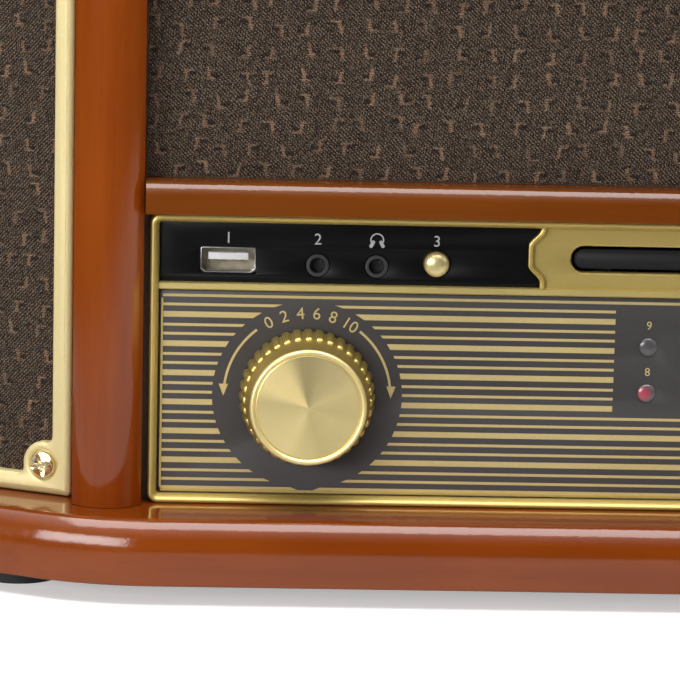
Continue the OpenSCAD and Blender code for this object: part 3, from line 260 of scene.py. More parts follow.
# ---------------------------------------------------------------- meshes
class Shape:
    """A mesh in the making, in millimetres."""

    def __init__(self) -> None:
        """Starts empty."""
        self.verts: list[Point3] = []
        self.faces: list[tuple[int, ...]] = []

    def add(self, verts: Iterable[Point3], faces: Iterable[Sequence[int]]) -> "Shape":
        """Adds vertices and the faces between them.

        Args:
            verts: New vertices.
            faces: Faces, counted from the first new vertex.

        Returns:
            This shape.
        """
        base = len(self.verts)
        self.verts.extend(tuple(v) for v in verts)
        self.faces.extend(tuple(base + i for i in f) for f in faces)
        return self

    def skin(self, rings: Sequence[Sequence[Point3]], closed: bool = True, ends: bool = False) -> "Shape":
        """Joins rings of equally many points with quads.

        Args:
            rings: The rings, in order.
            closed: Whether each ring is closed.
            ends: Whether the first and the last ring are filled.

        Returns:
            This shape.
        """
        n = len(rings[0])
        faces = []
        for k in range(len(rings) - 1):
            for i in range(n if closed else n - 1):
                j = (i + 1) % n
                faces.append((k * n + i, k * n + j, (k + 1) * n + j, (k + 1) * n + i))
        self.add([p for ring in rings for p in ring], faces)
        for ring in (rings[0], rings[-1]) if ends else ():
            self.fill(ring)
        return self

    def fill(self, ring: Sequence[Point3]) -> "Shape":
        """Closes one ring with a face."""
        return self.add(ring, [tuple(range(len(ring)))])

    def cap(self, loops: Sequence[Outline], depth: float, place: Place) -> "Shape":
        """Closes a flat region with holes.

        Args:
            loops: Outer outline first, then the holes.
            depth: The plane's depth.
            place: Turns (u, depth, v) into X, Y and Z.

        Returns:
            This shape.
        """
        pts = [p for loop in loops for p in loop]
        tris = tessellate_polygon([[Vector((x, y, 0)) for x, y in loop] for loop in loops])
        return self.add([place(u, depth, v) for u, v in pts], tris)

    def plate(self, outer: Outline, holes: Sequence[Outline], d0: float, d1: float, place: Place = front,
              edge: float = 0.0, steps: int = 4, back_edge: float = 0.0,
              rims: Sequence[Outline] = ()) -> "Shape":
        """A plate with holes, whose front edges can be rounded over or bevelled.

        Args:
            outer: Outer outline, anticlockwise.
            holes: Holes, anticlockwise.
            d0, d1: Depths of the front face and the back face.
            place: Turns (u, depth, v) into X, Y and Z.
            edge: Radius of the rounded front edges.
            steps: Steps of the rounding.
            back_edge: Radius of the rounded back edges.
            rims: (inset, depth) from the front face to the side, of the outer edge and then of the holes.

        Returns:
            This shape.
        """
        def quarter(r: float) -> list[Point2]:
            """(inset, depth behind the face) of an edge rounded by r."""
            return arc((r, r), r, 270, 180, steps) if r else [(0.0, 0.0)]

        loops = [list(outer)] + [list(reversed(h)) for h in holes]
        fronts = [[(ins, d0 + d) for ins, d in rim] for rim in (rims or (quarter(edge),) * 2)]
        back = [(ins, d1 - d) for ins, d in reversed(quarter(back_edge))]
        for i, loop in enumerate(loops):
            prof = fronts[min(i, 1)] + back
            self.skin([[place(u, d, v) for u, v in offset(loop, ins)] for ins, d in prof])
        tops = [offset(loop, fronts[min(i, 1)][0][0]) for i, loop in enumerate(loops)]
        self.cap(tops, fronts[0][0][1], place)
        return self.cap([offset(loop, back[-1][0]) for loop in loops], d1, place)

    def lathe(self, profile: Outline, place: Place, steps: int = 64) -> "Shape":
        """Turns a profile of (radius, depth) round the depth axis; ends on the axis are closed.

        Args:
            profile: The profile's points; a radius under 0.001 is on the axis.
            place: Turns (u, depth, v) into X, Y and Z.
            steps: Steps of the turn.

        Returns:
            This shape.
        """
        return self.skin([[place(x, d, y) for x, y in circle((0.0, 0.0), max(r, 1e-4), steps)]
                          for r, d in profile])

    def sweep(self, path: Outline, profile: Outline, closed: bool = True) -> "Shape":
        """Runs a profile of (distance to the path's left, depth) along a path in the front view.

        Args:
            path: The path's points.
            profile: The profile's points.
            closed: Whether the path is closed; an open one gets its ends filled.

        Returns:
            This shape.
        """
        if closed:
            rings = [[(u, d, v) for u, v in offset(path, ins)] for ins, d in profile]
            return self.skin([*rings, rings[0]])
        pts = [Vector(p) for p in path]
        pts = [2 * pts[0] - pts[1], *pts, 2 * pts[-1] - pts[-2]]
        rings = []
        for before, p, after in zip(pts, pts[1:], pts[2:]):
            e0, e1 = (p - before).normalized(), (after - p).normalized()
            m = Vector((-e0.y - e1.y, e0.x + e1.x)).normalized()
            m /= m.dot(Vector((-e0.y, e0.x)))
            rings.append([(p.x + m.x * ins, d, p.y + m.y * ins) for ins, d in profile])
        return self.skin(rings, ends=True)

    def block(self, lo: Point3, hi: Point3, edge: float = 0.0) -> "Shape":
        """A box whose vertical edges and rims can be rounded.

        Args:
            lo: Lowest corner.
            hi: Highest corner.
            edge: Radius of the rounding.

        Returns:
            This shape.
        """
        (x0, y0, z0), (x1, y1, z1) = lo, hi
        outline = rounded(x0, y0, x1, y1, edge, 4) if edge else [(x0, y0), (x1, y0), (x1, y1), (x0, y1)]
        return self.plate(outline, [], z0, z1, level, edge, 3, edge)


def numerals(shape: Shape, text: str, height: float, depth: float, centre: Point2,
             turn: float = 0.0) -> None:
    """Adds plain numerals as a thin print.

    Args:
        shape: The shape that they are added to.
        text: The digits.
        height: Their height.
        depth: Depth of the surface that they are printed on.
        centre: Their middle.
        turn: Angle in degrees by which they are turned clockwise.
    """
    curve = bpy.data.curves.new("digits", "FONT")
    curve.body = text
    obj = bpy.data.objects.new("digits", curve)
    mesh = bpy.data.meshes.new_from_object(obj)
    bpy.data.objects.remove(obj)
    xs, ys = [v.co.x for v in mesh.vertices], [v.co.y for v in mesh.vertices]
    k, mx, my = height / (max(ys) - min(ys)), (max(xs) + min(xs)) / 2, (max(ys) + min(ys)) / 2
    c, sn = cosd(turn), sind(turn)
    pts = [((v.co.x - mx) * k, (v.co.y - my) * k) for v in mesh.vertices]
    shape.add([(centre[0] + x * c + y * sn, depth - PRINT_T, centre[1] - x * sn + y * c) for x, y in pts],
              [tuple(poly.vertices) for poly in mesh.polygons])
    bpy.data.meshes.remove(mesh)


def dress(name: str, shape: Shape, finish: "Finish", body: str = "root", smooth: float = 30.0,
          replaces: Sequence[str] = (), uv: Pattern | None = None) -> bpy.types.Object:
    """Turns a shape into a finished piece of the model.

    Args:
        name: The piece's name.
        shape: Its shape in millimetres.
        finish: Its finish.
        body: The body that it moves with.
        smooth: Angle in degrees under which edges are shaded smooth.
        replaces: CAD nodes that it stands for.
        uv: Gives a vertex's place on the pattern, if the finish follows the surface.

    Returns:
        The piece's object.
    """
    bm = bmesh.new()
    verts = [bm.verts.new(Vector(v) * MM) for v in shape.verts]
    for f in shape.faces:
        if len(set(f)) > 2:
            try:
                bm.faces.new([verts[i] for i in f])
            except ValueError:
                continue
    bmesh.ops.remove_doubles(bm, verts=bm.verts, dist=2e-6)
    bmesh.ops.dissolve_degenerate(bm, edges=bm.edges, dist=1e-7)
    bmesh.ops.recalc_face_normals(bm, faces=bm.faces)
    mesh = bpy.data.meshes.new(name)
    bm.to_mesh(mesh)
    bm.free()
    return dress_mesh(name, mesh, finish, body, smooth, replaces, uv)


def dress_mesh(name: str, mesh: Mesh, finish: "Finish", body: str = "root", smooth: float = 35.0,
               replaces: Sequence[str] = (), uv: Pattern | None = None) -> bpy.types.Object:
    """Makes the object of a piece from its mesh. The arguments are those of dress."""
    mesh.polygons.foreach_set("use_smooth", [True] * len(mesh.polygons))
    mesh.set_sharp_from_angle(angle=math.radians(smooth))
    if uv:
        layer = mesh.uv_layers.new(name="pattern")
        for loop in mesh.loops:
            layer.data[loop.index].uv = uv(mesh.vertices[loop.vertex_index].co / MM)
    mesh.materials.clear()
    mesh.materials.append(paint(finish))
    obj = bpy.data.objects.new(name, mesh)
    bpy.context.scene.collection.objects.link(obj)
    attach(obj, body)
    if replaces:
        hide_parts(*replaces)
    log.info("%s: %d faces on %s", name, len(mesh.polygons), body)
    return obj


# ---------------------------------------------------------------- finishes
def shade(colour: Colour, k: float) -> Colour:
    """A colour made k times as bright, up to 1."""
    return tuple(min(c * k, 1.0) for c in colour)


class Graph:
    """Short words for building a material's nodes."""

    def __init__(self, tree: NodeTree) -> None:
        """Works on one node tree."""
        self.tree = tree

    def node(self, kind: str, **settings: object) -> Node:
        """A new node with its settings."""
        n = self.tree.nodes.new(kind)
        for key, value in settings.items():
            setattr(n, key, value)
        return n

    def feed(self, socket: Socket, value: object) -> None:
        """Links a socket to another, or sets its value."""
        if isinstance(value, Socket):
            self.tree.links.new(value, socket)
        elif isinstance(value, tuple) and socket.type == "RGBA" and len(value) == 3:
            socket.default_value = (*value, 1.0)
        else:
            socket.default_value = value

    def put(self, node: Node, values: dict[str, object]) -> None:
        """Links or sets a node's inputs by their names."""
        for key, value in values.items():
            self.feed(node.inputs[key], value)

    def math(self, op: str, a: object, b: object = 0.0, clamp: bool = False) -> Socket:
        """One step of arithmetic.

        Args:
            op: The Math node's operation.
            a, b: Sockets or numbers.
            clamp: Whether the result is kept between 0 and 1.

        Returns:
            The result.
        """
        n = self.node("ShaderNodeMath", operation=op, use_clamp=clamp)
        for socket, value in zip(n.inputs, (a, b)):
            self.feed(socket, value)
        return n.outputs[0]

    def add(self, a: object, b: object) -> Socket:
        """a plus b."""
        return self.math("ADD", a, b)

    def sub(self, a: object, b: object) -> Socket:
        """a minus b."""
        return self.math("SUBTRACT", a, b)

    def mul(self, a: object, b: object) -> Socket:
        """a times b."""
        return self.math("MULTIPLY", a, b)

    def sum(self, *terms: tuple[object, float]) -> Socket:
        """Adds up terms, each a value and its factor."""
        return functools.reduce(self.add, [a if k == 1 else self.mul(a, k) for a, k in terms])

    def about(self, middle: float, noise: Socket, spread: float) -> Socket:
        """Varies a number about its middle by a noise from 0 to 1."""
        return self.add(middle - spread / 2, self.mul(noise, spread))

    def length(self, u: Socket, v: Socket) -> Socket:
        """How far (u, v) is from the origin."""
        return self.math("SQRT", self.add(self.mul(u, u), self.mul(v, v)))

    def span(self, x: object, lo: float, hi: float) -> Socket:
        """Goes smoothly from 0 at lo to 1 at hi."""
        n = self.node("ShaderNodeMapRange", interpolation_type="SMOOTHSTEP")
        self.put(n, {"Value": x, "From Min": lo, "From Max": hi})
        return n.outputs[0]

    def mix(self, k: object, a: object, b: object) -> Socket:
        """Mixes two colours by k."""
        n = self.node("ShaderNodeMix", data_type="RGBA")
        for socket, value in zip((n.inputs[0], n.inputs[6], n.inputs[7]), (k, a, b)):
            self.feed(socket, value)
        return n.outputs[2]

    def mottle(self, colour: Colour, vary: float, noise: Socket) -> Socket:
        """A colour made darker and lighter by up to vary, in the patches of a noise."""
        return self.mix(self.span(noise, 0.3, 0.7), shade(colour, 1 - vary), shade(colour, 1 + vary))

    def noise(self, at: Socket, scale: float, detail: float = 2.0, rough: float = 0.5) -> Socket:
        """Noise between 0 and 1 at a scale in lumps for each metre."""
        n = self.node("ShaderNodeTexNoise")
        self.put(n, {"Vector": at, "Scale": scale, "Detail": detail, "Roughness": rough})
        return n.outputs["Fac"]

    def random(self, at: object, w: float = 0.0) -> Socket:
        """A random number from 0 to 1 for each whole place."""
        n = self.node("ShaderNodeTexWhiteNoise", noise_dimensions="4D")
        self.put(n, {"Vector": at, "W": w})
        return n.outputs["Value"]

    def place(self) -> Socket:
        """The place on the object, in metres."""
        return self.node("ShaderNodeTexCoord").outputs["Object"]

    def parts(self, at: Socket) -> tuple[Socket, Socket, Socket]:
        """The X, Y and Z of a place."""
        n = self.node("ShaderNodeSeparateXYZ")
        self.feed(n.inputs[0], at)
        return tuple(n.outputs)

    def join(self, x: object, y: object, z: object = 0.0) -> Socket:
        """A place from its X, Y and Z."""
        n = self.node("ShaderNodeCombineXYZ")
        self.put(n, {"X": x, "Y": y, "Z": z})
        return n.outputs[0]

    def unit(self, x: object, y: object, z: object) -> Socket:
        """A direction from its X, Y and Z, at length 1."""
        n = self.node("ShaderNodeVectorMath", operation="NORMALIZE")
        self.feed(n.inputs[0], self.join(x, y, z))
        return n.outputs[0]

    def stretch(self, at: Socket, scale: Point3) -> Socket:
        """A place scaled along each axis."""
        n = self.node("ShaderNodeMapping")
        self.put(n, {"Vector": at, "Scale": scale})
        return n.outputs[0]

    def bump(self, height: Socket, depth: float) -> Socket:
        """A bumpy surface's normal, depth in millimetres."""
        n = self.node("ShaderNodeBump")
        self.put(n, {"Height": height, "Distance": depth * MM, "Strength": 1.0})
        return n.outputs[0]

    def grooves(self, r: Socket, pitch: float, lumps: float) -> tuple[Socket, Socket, Socket]:
        """The grooves that a lathe leaves.

        Args:
            r: Distance from the axis in metres.
            pitch: Pitch of the grooves in millimetres.
            lumps: Lumps of their unevenness for each metre.

        Returns:
            The even grooves from -1 to 1, their unevenness from 0 to 1, and the height of both.
        """
        even = self.math("SINE", self.mul(r, 2 * math.pi / (pitch * MM)))
        uneven = self.noise(self.join(self.mul(r, lumps), 0.0), 1.0, 3.0, 0.7)
        return even, uneven, self.sum((even, 0.5), (uneven, 1))


@dataclass(frozen=True)
class Finish:
    """What every finish has: a name, the record's slot, its colour and its roughness."""

    name: str
    slot: str = ""
    colour: Colour = (0.5, 0.5, 0.5)
    rough: float = 0.5

    def build(self, g: Graph, s: Node) -> None:
        """Sets the shader's sockets and links its patterns.

        Args:
            g: The material's graph.
            s: The Principled shader.
        """
        g.put(s, {"Base Color": self.colour, "Roughness": self.rough})


@dataclass(frozen=True)
class Lacquer(Finish):
    """Stained veneer under a thick gloss lacquer, its grain along one axis."""

    dark: Colour = (0.2, 0.06, 0.01)
    along: int = 0
    peel: float = 0.045

    def build(self, g: Graph, s: Node) -> None:
        """See Finish."""
        at = g.place()
        long = [9.0, 9.0, 9.0]
        long[self.along] = 0.5
        streaks = g.noise(g.stretch(at, tuple(v * 22 for v in long)), 1.0, 5.0, 0.62)
        clouds = g.noise(at, 14.0, 2.0)
        pores = g.noise(g.stretch(at, tuple(v * 140 for v in long)), 1.0, 2.0)
        wood = g.mix(g.span(g.sum((streaks, 0.5), (clouds, 0.5)), 0.33, 0.66), self.dark, self.colour)
        peel = g.sum((g.noise(at, 240.0, 1.0), 1), (g.noise(at, 1500.0, 1.0), 0.35))
        g.put(s, {"Base Color": g.mix(g.mul(g.span(pores, 0.62, 0.8), 0.3), wood, shade(self.dark, 0.45)),
                  "Roughness": self.rough, "Specular IOR Level": 0.0, "Coat Weight": 1.0,
                  "Coat Roughness": 0.11, "Coat Normal": g.bump(peel, self.peel)})


@dataclass(frozen=True)
class Coating(Finish):
    """Moulded plastic or paint with a fine texture, and a metallic share for gilt."""

    metal: float = 0.0
    grain: float = 900.0
    depth: float = 0.01
    vary: float = 0.08
    coat: float = 0.0
    spec: float = 0.4

    def build(self, g: Graph, s: Node) -> None:
        """See Finish."""
        at = g.place()
        fine, broad = g.noise(at, self.grain, 2.0), g.noise(at, 30.0, 2.0)
        g.put(s, {"Base Color": g.mottle(self.colour, self.vary, g.sum((fine, 0.5), (broad, 0.5))),
                  "Roughness": g.about(self.rough, broad, 0.08), "Metallic": self.metal,
                  "Coat Weight": self.coat, "Specular IOR Level": self.spec,
                  "Normal": g.bump(fine, self.depth)})


@dataclass(frozen=True)
class LitLens(Finish):
    """Grey lens with the red glow of the lit lamp behind it painted into its colour on one side."""

    glow: Colour = (0.34, 0.035, 0.06)
    lamp: Point3 = (0.0, 0.0, 0.0)
    reach: Point2 = (0.5, 2.3)

    def build(self, g: Graph, s: Node) -> None:
        """See Finish."""
        away = g.node("ShaderNodeVectorMath", operation="DISTANCE")
        g.feed(away.inputs[0], g.place())
        g.feed(away.inputs[1], tuple(v * MM for v in self.lamp))
        speck = g.mul(g.sub(g.noise(g.place(), 900.0), 0.5), 0.6 * MM)
        # painted glow: the lens's colour turns to the glow colour near the lamp
        share = g.span(g.add(away.outputs["Value"], speck), self.reach[1] * MM, self.reach[0] * MM)
        g.put(s, {"Base Color": g.mix(share, self.colour, self.glow), "Roughness": self.rough,
                  "Coat Weight": 0.4})


class Cut(Enum):
    """How a part's face was finished."""

    PLAIN = "plain"
    SPUN = "spun"


@dataclass(frozen=True)
class Metal(Finish):
    """Metal, or with metal 0 rubber, plain or turned in rings about an upright axis."""

    cut: Cut = Cut.PLAIN
    centre: Point2 = (0.0, 0.0)
    pitch: float = 0.4
    depth: float = 0.02
    metal: float = 1.0
    streak: float = 0.7

    def build(self, g: Graph, s: Node) -> None:
        """See Finish."""
        at = g.place()
        broad = g.noise(at, 60.0, 2.0)
        g.put(s, {"Metallic": self.metal, "Base Color": g.mottle(self.colour, 0.07, broad)})
        if self.cut is Cut.PLAIN:
            g.put(s, {"Roughness": g.about(self.rough, broad, 0.1),
                      "Normal": g.bump(g.noise(at, 1500.0, 2.0), 0.004)})
            return
        x, y, _ = g.parts(at)
        u, v = g.sub(x, self.centre[0] * MM), g.sub(y, self.centre[1] * MM)
        _, uneven, height = g.grooves(g.length(u, v), self.pitch, 3000.0)
        g.put(s, {"Normal": g.bump(height, self.depth), "Roughness": g.about(self.rough, uneven, 0.1)})
        if self.metal:
            g.put(s, {"Anisotropic": self.streak, "Tangent": g.unit(v, g.mul(u, -1.0), 0.0)})


@dataclass(frozen=True)
class SpunGilt(Finish):
    """Gilt metal turned in fine rings about the Y axis, with bright and dark fans of painted highlight and
    shade.

    Each painted fan has its angle, the angle to its edges and its strength, which brightens or darkens the
    colour.
    """

    centre: Point2 = (0.0, 0.0)
    pitch: float = 0.5
    # painted highlight and shade: the direction, spread and strength of each fan
    painted_sheen_fans: tuple[Point3, ...] = ((137.0, 38.0, 0.7), (72.0, 52.0, -0.3), (-92.0, 40.0, 0.12),
                                (-40.0, 34.0, 0.18), (178.0, 34.0, 0.06))

    def build(self, g: Graph, s: Node) -> None:
        """See Finish."""
        x, _, z = g.parts(g.place())
        u, v = g.sub(x, self.centre[0] * MM), g.sub(z, self.centre[1] * MM)
        r = g.math("MAXIMUM", g.length(u, v), 1e-5)
        even, uneven, height = g.grooves(r, self.pitch, 4200.0)
        grooves_and_sheen = g.add(g.add(1.0, g.mul(g.sub(uneven, 0.5), 0.12)), g.mul(even, 0.025))
        # each fan paints a bright or dark wedge into the colour, standing in for the light on the turned face
        for angle, width, more in self.painted_sheen_fans:
            near = g.math("DIVIDE", g.add(g.mul(u, cosd(angle)), g.mul(v, sind(angle))), r)
            grooves_and_sheen = g.add(grooves_and_sheen, g.mul(g.span(near, cosd(width), 1.0), more))
        tone = g.node("ShaderNodeVectorMath", operation="SCALE")
        g.feed(tone.inputs[0], self.colour)
        g.feed(tone.inputs["Scale"], grooves_and_sheen)
        g.put(s, {"Base Color": tone.outputs[0], "Metallic": 0.5, "Normal": g.bump(height, 0.012),
                  "Roughness": g.about(self.rough, uneven, 0.1), "Anisotropic": 0.6,
                  "Tangent": g.unit(v, 0.0, g.mul(u, -1.0))})


@dataclass(frozen=True)
class GrilleCloth(Finish):
    """Jacquard grille cloth: a fine twill with small tan hooks and dark shadows, on a map in millimetres."""

    light: Colour = (0.172, 0.12, 0.082)
    tan: Colour = (0.24, 0.148, 0.095)
    green: Colour = (0.1, 0.105, 0.07)
    shadow: Colour = (0.006, 0.005, 0.005)
    thread: float = 0.5
    rib: float = 0.62
    cell: Point2 = (7.4, 5.9)

    def build(self, g: Graph, s: Node) -> None:
        """See Finish."""
        uv = g.node("ShaderNodeUVMap", uv_map="pattern").outputs[0]
        u, v, _ = g.parts(uv)
        wobble = g.noise(g.stretch(uv, (0.09, 0.09, 1.0)), 1.0, 1.0)
        u2 = g.add(u, g.mul(wobble, 1.2))
        a, b = g.mul(u2, 1 / self.thread), g.mul(v, 1 / self.thread)
        warp = g.math("SINE", g.mul(g.add(a, b), math.pi))
        weft = g.math("SINE", g.mul(g.sub(g.mul(a, 0.6), g.mul(b, 1.2)), math.pi))
        twill = g.sum((warp, 0.45), (g.mul(warp, weft), 0.55))
        fleece = g.random(g.join(*(g.math("FLOOR", g.mul(w, 2.0)) for w in (a, b))), 3.0)
        light = g.span(g.sum((twill, 0.38), (fleece, 0.5)), 0.12, 0.78)
        hooks, shades = self.hooks(g, u2, v, fleece, 0.0)
        small, dark = self.hooks(g, g.add(u2, 4.6), g.add(v, 3.9), fleece, 7.0, 0.6)
        ribs = g.math("SINE", g.mul(v, 2 * math.pi / self.rib))
        tone = g.mix(g.span(g.sum((ribs, 0.5), (fleece, 1)), -0.2, 1.2), shade(self.tan, 0.4), self.tan)
        olive = g.mix(g.span(fleece, 0.2, 0.9), shade(self.green, 0.4), self.green)
        base = g.mix(light, self.colour, self.light)
        base = g.mix(g.mul(g.math("MAXIMUM", shades, g.mul(dark, 0.8)), 0.72), base, self.shadow)
        base = g.mix(g.mul(small, 0.5), base, olive)
        relief = g.sum((twill, 0.5), (hooks, 0.6))
        g.put(s, {"Base Color": g.mix(g.mul(hooks, 0.88), base, tone), "Roughness": self.rough,
                  "Specular IOR Level": 0.08, "Normal": g.bump(relief, 0.12)})

    def hooks(self, g: Graph, u: Socket, v: Socket, ragged: Socket, seed: float,
              size: float = 1.0) -> tuple[Socket, Socket]:
        """One hook in each cell, turned one of four ways, and the shadow in its crook.

        Args:
            g: The material's graph.
            u, v: Place on the cloth in millimetres.
            ragged: Random number for each thread, which breaks the edges up.
            seed: Seed of the places and turns.
            size: Size of a hook against the large ones.

        Returns:
            How much of the hook and of the shadow there is.
        """
        wide, high = self.cell
        row = g.math("FLOOR", g.math("DIVIDE", v, high))
        us = g.add(u, g.mul(g.random(g.join(0.0, row), seed + 1), wide))
        col = g.math("FLOOR", g.math("DIVIDE", us, wide))
        cell = g.join(col, row)
        jx, jy = (g.about(0.0, g.random(cell, seed + k), reach)
                  for k, reach in ((2, wide * 0.4), (3, high * 0.35)))
        du = g.sub(g.sub(us, g.mul(g.add(col, 0.5), wide)), jx)
        dv = g.sub(g.sub(v, g.mul(g.add(row, 0.5), high)), jy)
        fx = g.math("SIGN", g.sub(g.random(cell, seed + 4), 0.5))
        fy = g.math("SIGN", g.sub(g.random(cell, seed + 5), 0.4))
        ends = g.noise(g.join(g.mul(u, 0.9), g.mul(v, 0.9), seed), 1.0, 2.0, 0.7)
        wave = g.add(g.about(0.0, ragged, 0.5), g.about(0.0, ends, 1.5))
        p, q = g.add(g.mul(du, fx), wave), g.add(g.mul(dv, fy), wave)
        p = g.sub(p, g.mul(q, 0.14))
        longer = g.mul(g.random(cell, seed + 6), 0.9 * size)
        leg = self.slab(g, p, q, (-1.0, -0.1), (-1.65, 1.55), size)
        toe = self.slab(g, g.sub(p, longer), q, (-1.75, 0.8), (1.0, 1.5), size)
        crook = self.slab(g, p, q, (-0.3, 1.9), (0.1, 0.95), size)
        strong = g.about(0.75, g.random(cell, seed + 8), 0.5)
        return g.mul(g.math("MAXIMUM", leg, toe), strong), crook

    @staticmethod
    def slab(g: Graph, p: Socket, q: Socket, ps: Point2, qs: Point2, size: float) -> Socket:
        """1 inside a rectangle of the pattern, made size times as large, and 0 outside, with soft edges."""
        soft, sides = 0.12, []
        for x, ends in ((p, ps), (q, qs)):
            lo, hi = (end * size for end in ends)
            sides += [g.span(x, lo - soft, lo + soft), g.span(g.mul(x, -1.0), -hi - soft, -hi + soft)]
        return functools.reduce(g.mul, sides)


@dataclass(frozen=True)
class PaleFloor(Finish):
    """Studio floor, pale round the object, and dark far off where gloss reflects it."""

    far: Colour = (0.02, 0.02, 0.02)
    reach: Point2 = (0.24, 0.46)
    glow: float = 0.4

    def build(self, g: Graph, s: Node) -> None:
        """See Finish."""
        ray = g.node("ShaderNodeLightPath").outputs
        x, y, _ = g.parts(g.place())
        away = g.mul(g.span(g.length(x, y), *self.reach), ray["Is Glossy Ray"])
        g.put(s, {"Base Color": g.mix(away, self.colour, self.far), "Roughness": self.rough,
                  "Specular IOR Level": 0.0, "Emission Color": (1.0, 1.0, 1.0),
                  "Emission Strength": g.mul(ray["Is Camera Ray"], self.glow)})


@functools.cache
def paint(finish: Finish) -> bpy.types.Material:
    """The material of a finish, made once.

    Args:
        finish: The finish.

    Returns:
        Its material.
    """
    mat = bpy.data.materials.new(finish.name)
    mat.use_nodes = True
    finish.build(Graph(mat.node_tree), mat.node_tree.nodes["Principled BSDF"])
    return mat


WOOD_X = Lacquer("veneer_across", "wood_gloss", (0.21, 0.042, 0.003), 0.42, (0.158, 0.028, 0.0018), 0)
WOOD_Z = Lacquer("veneer_upright", "wood_gloss", (0.24, 0.049, 0.0035), 0.42, (0.18, 0.032, 0.002), 2)
# A darker copy of the veneer: painted shade that makes the rail darker than the plinth and columns.
WOOD_RAIL_SHADED = Lacquer("veneer_rail_painted_shade", "wood_gloss", (0.145, 0.036, 0.0035), 0.42, (0.11, 0.025, 0.002), 0, 0.06)
WOOD_Y = Lacquer("veneer_back_to_front", "wood_gloss", (0.215, 0.045, 0.0035), 0.42, (0.165, 0.03, 0.002), 1)
BOARD = Coating("fibreboard", "board", (0.16, 0.1, 0.06), 0.8, 0.0, 500.0, 0.05, 0.25)
RUBBER = Coating("foot_rubber", "rubber_black", (0.02, 0.02, 0.02), 0.75, 0.0, 700.0, 0.02)
CLOTH = GrilleCloth("grille_cloth", "grille_cloth", (0.012, 0.0085, 0.0065), 0.85)
GILT_PALE = Coating("gilt_pale_paint", "gilt_pale", (0.65, 0.545, 0.268), 0.38, 0.18, 1200.0, 0.006, 0.03)
GILT = Coating("gilt_satin_paint", "gilt_satin", (0.47, 0.355, 0.108), 0.36, 0.45, 1200.0, 0.005, 0.03)
# A lighter copy of the satin gilt: painted light on the divider bar.
GILT_DIVIDER_LIT = Coating("gilt_bar_painted_light", "gilt_satin", (0.49, 0.385, 0.14), 0.36, 0.5, 1200.0, 0.005, 0.04)
BLACK_GLOSS = Coating("black_acrylic", "black_gloss", (0.0045, 0.0045, 0.0048), 0.3, 0.0, 60.0, 0.0, 0.1,
                      0.0, 0.12)
CHARCOAL = Coating("charcoal_print", "charcoal", (0.043, 0.0395, 0.04), 0.42, 0.0, 1400.0, 0.006, 0.05,
                   0.0, 0.22)
PRINT_GOLD = Coating("printed_gold", "gilt_satin", (0.47, 0.37, 0.16), 0.4, 0.25, 1400.0, 0.003, 0.05,
                     0.0, 0.3)
PRINT_GREY = Coating("printed_grey", "lamp_lens", (0.36, 0.36, 0.38), 0.5, 0.0, 1400.0, 0.002, 0.03,
                     0.0, 0.2)
BLACK_MATT = Coating("black_plastic", "black_matt", (0.014, 0.014, 0.015), 0.5, 0.0, 1100.0, 0.015, 0.1,
                     0.0, 0.3)
DARK = Coating("dark_plastic", "dark_plastic", (0.011, 0.011, 0.0115), 0.42, 0.0, 1100.0, 0.012, 0.1,
               0.0, 0.16)
RING = Coating("socket_plastic", "dark_plastic", (0.03, 0.03, 0.032), 0.6, 0.0, 900.0, 0.004, 0.06, 0.0, 0.2)
WHITE = Coating("white_plastic", "lamp_lens", (0.62, 0.62, 0.62), 0.4, 0.0, 900.0, 0.004, 0.03)
LENS = Coating("lamp_lens_grey", "lamp_lens", (0.07, 0.068, 0.07), 0.24, 0.0, 600.0, 0.01, 0.25, 0.4, 0.4)
LENS_LIT = LitLens("lamp_lens_lit", "lamp_lens", (0.085, 0.07, 0.075), 0.26, lamp=(-49.6, -148.8, 50.2))
STEEL = Metal("bright_steel", "bright_steel", (0.8, 0.78, 0.74), 0.16)
SCREW = Metal("screw_steel", "bright_steel", (0.86, 0.78, 0.56), 0.22)
PLAIN_STEEL = Metal("plain_steel", "plain_steel", (0.5, 0.5, 0.5), 0.36)
BRASS = Metal("brass", "brass", (0.74, 0.55, 0.24), 0.24)
# A darker copy of the knob's gilt metal: painted shade on the ribbed side and its ribs.
GILT_SIDE_SHADED = Metal("knob_side_painted_shade", "gilt_metal", (0.47, 0.36, 0.115), 0.44)
GILT_BUTTON = Coating("gilt_button", "gilt_metal", (0.66, 0.55, 0.27), 0.3, 0.6, 1200.0, 0.004, 0.04)
GILT_RIM = Coating("knob_rim", "gilt_metal", (0.7, 0.57, 0.25), 0.36, 0.6, 1200.0, 0.004, 0.04)
SOCKET_STEEL = Metal("socket_steel", "plain_steel", (0.42, 0.41, 0.39), 0.3)
SOCKET_CORE = Coating("socket_core", "dark_plastic", (0.3, 0.25, 0.18), 0.5, 0.0, 500.0, 0.02, 0.3)
ALUMINIUM = Metal("satin_aluminium", "light_metal", (0.66, 0.67, 0.68), 0.32)
BOARD_GREEN = Coating("circuit_board", "circuit_board", (0.02, 0.14, 0.05), 0.4, 0.0, 300.0, 0.02, 0.3)
RED = Coating("red_pointer", "red_plastic", (0.5, 0.02, 0.015), 0.35, 0.0, 900.0, 0.004)
MAT = Metal("ribbed_mat", "rubber_black", (0.017, 0.017, 0.018), 0.6, Cut.SPUN, LAY.spindle, 1.6, 0.4, 0.0)
PLATTER = Metal("turned_platter", "light_metal", (0.68, 0.69, 0.7), 0.25, Cut.SPUN, LAY.spindle, 0.5, 0.01,
                1.0, 0.6)
FLOOR = PaleFloor("floor_white", "", (0.8, 0.8, 0.8), 0.9)


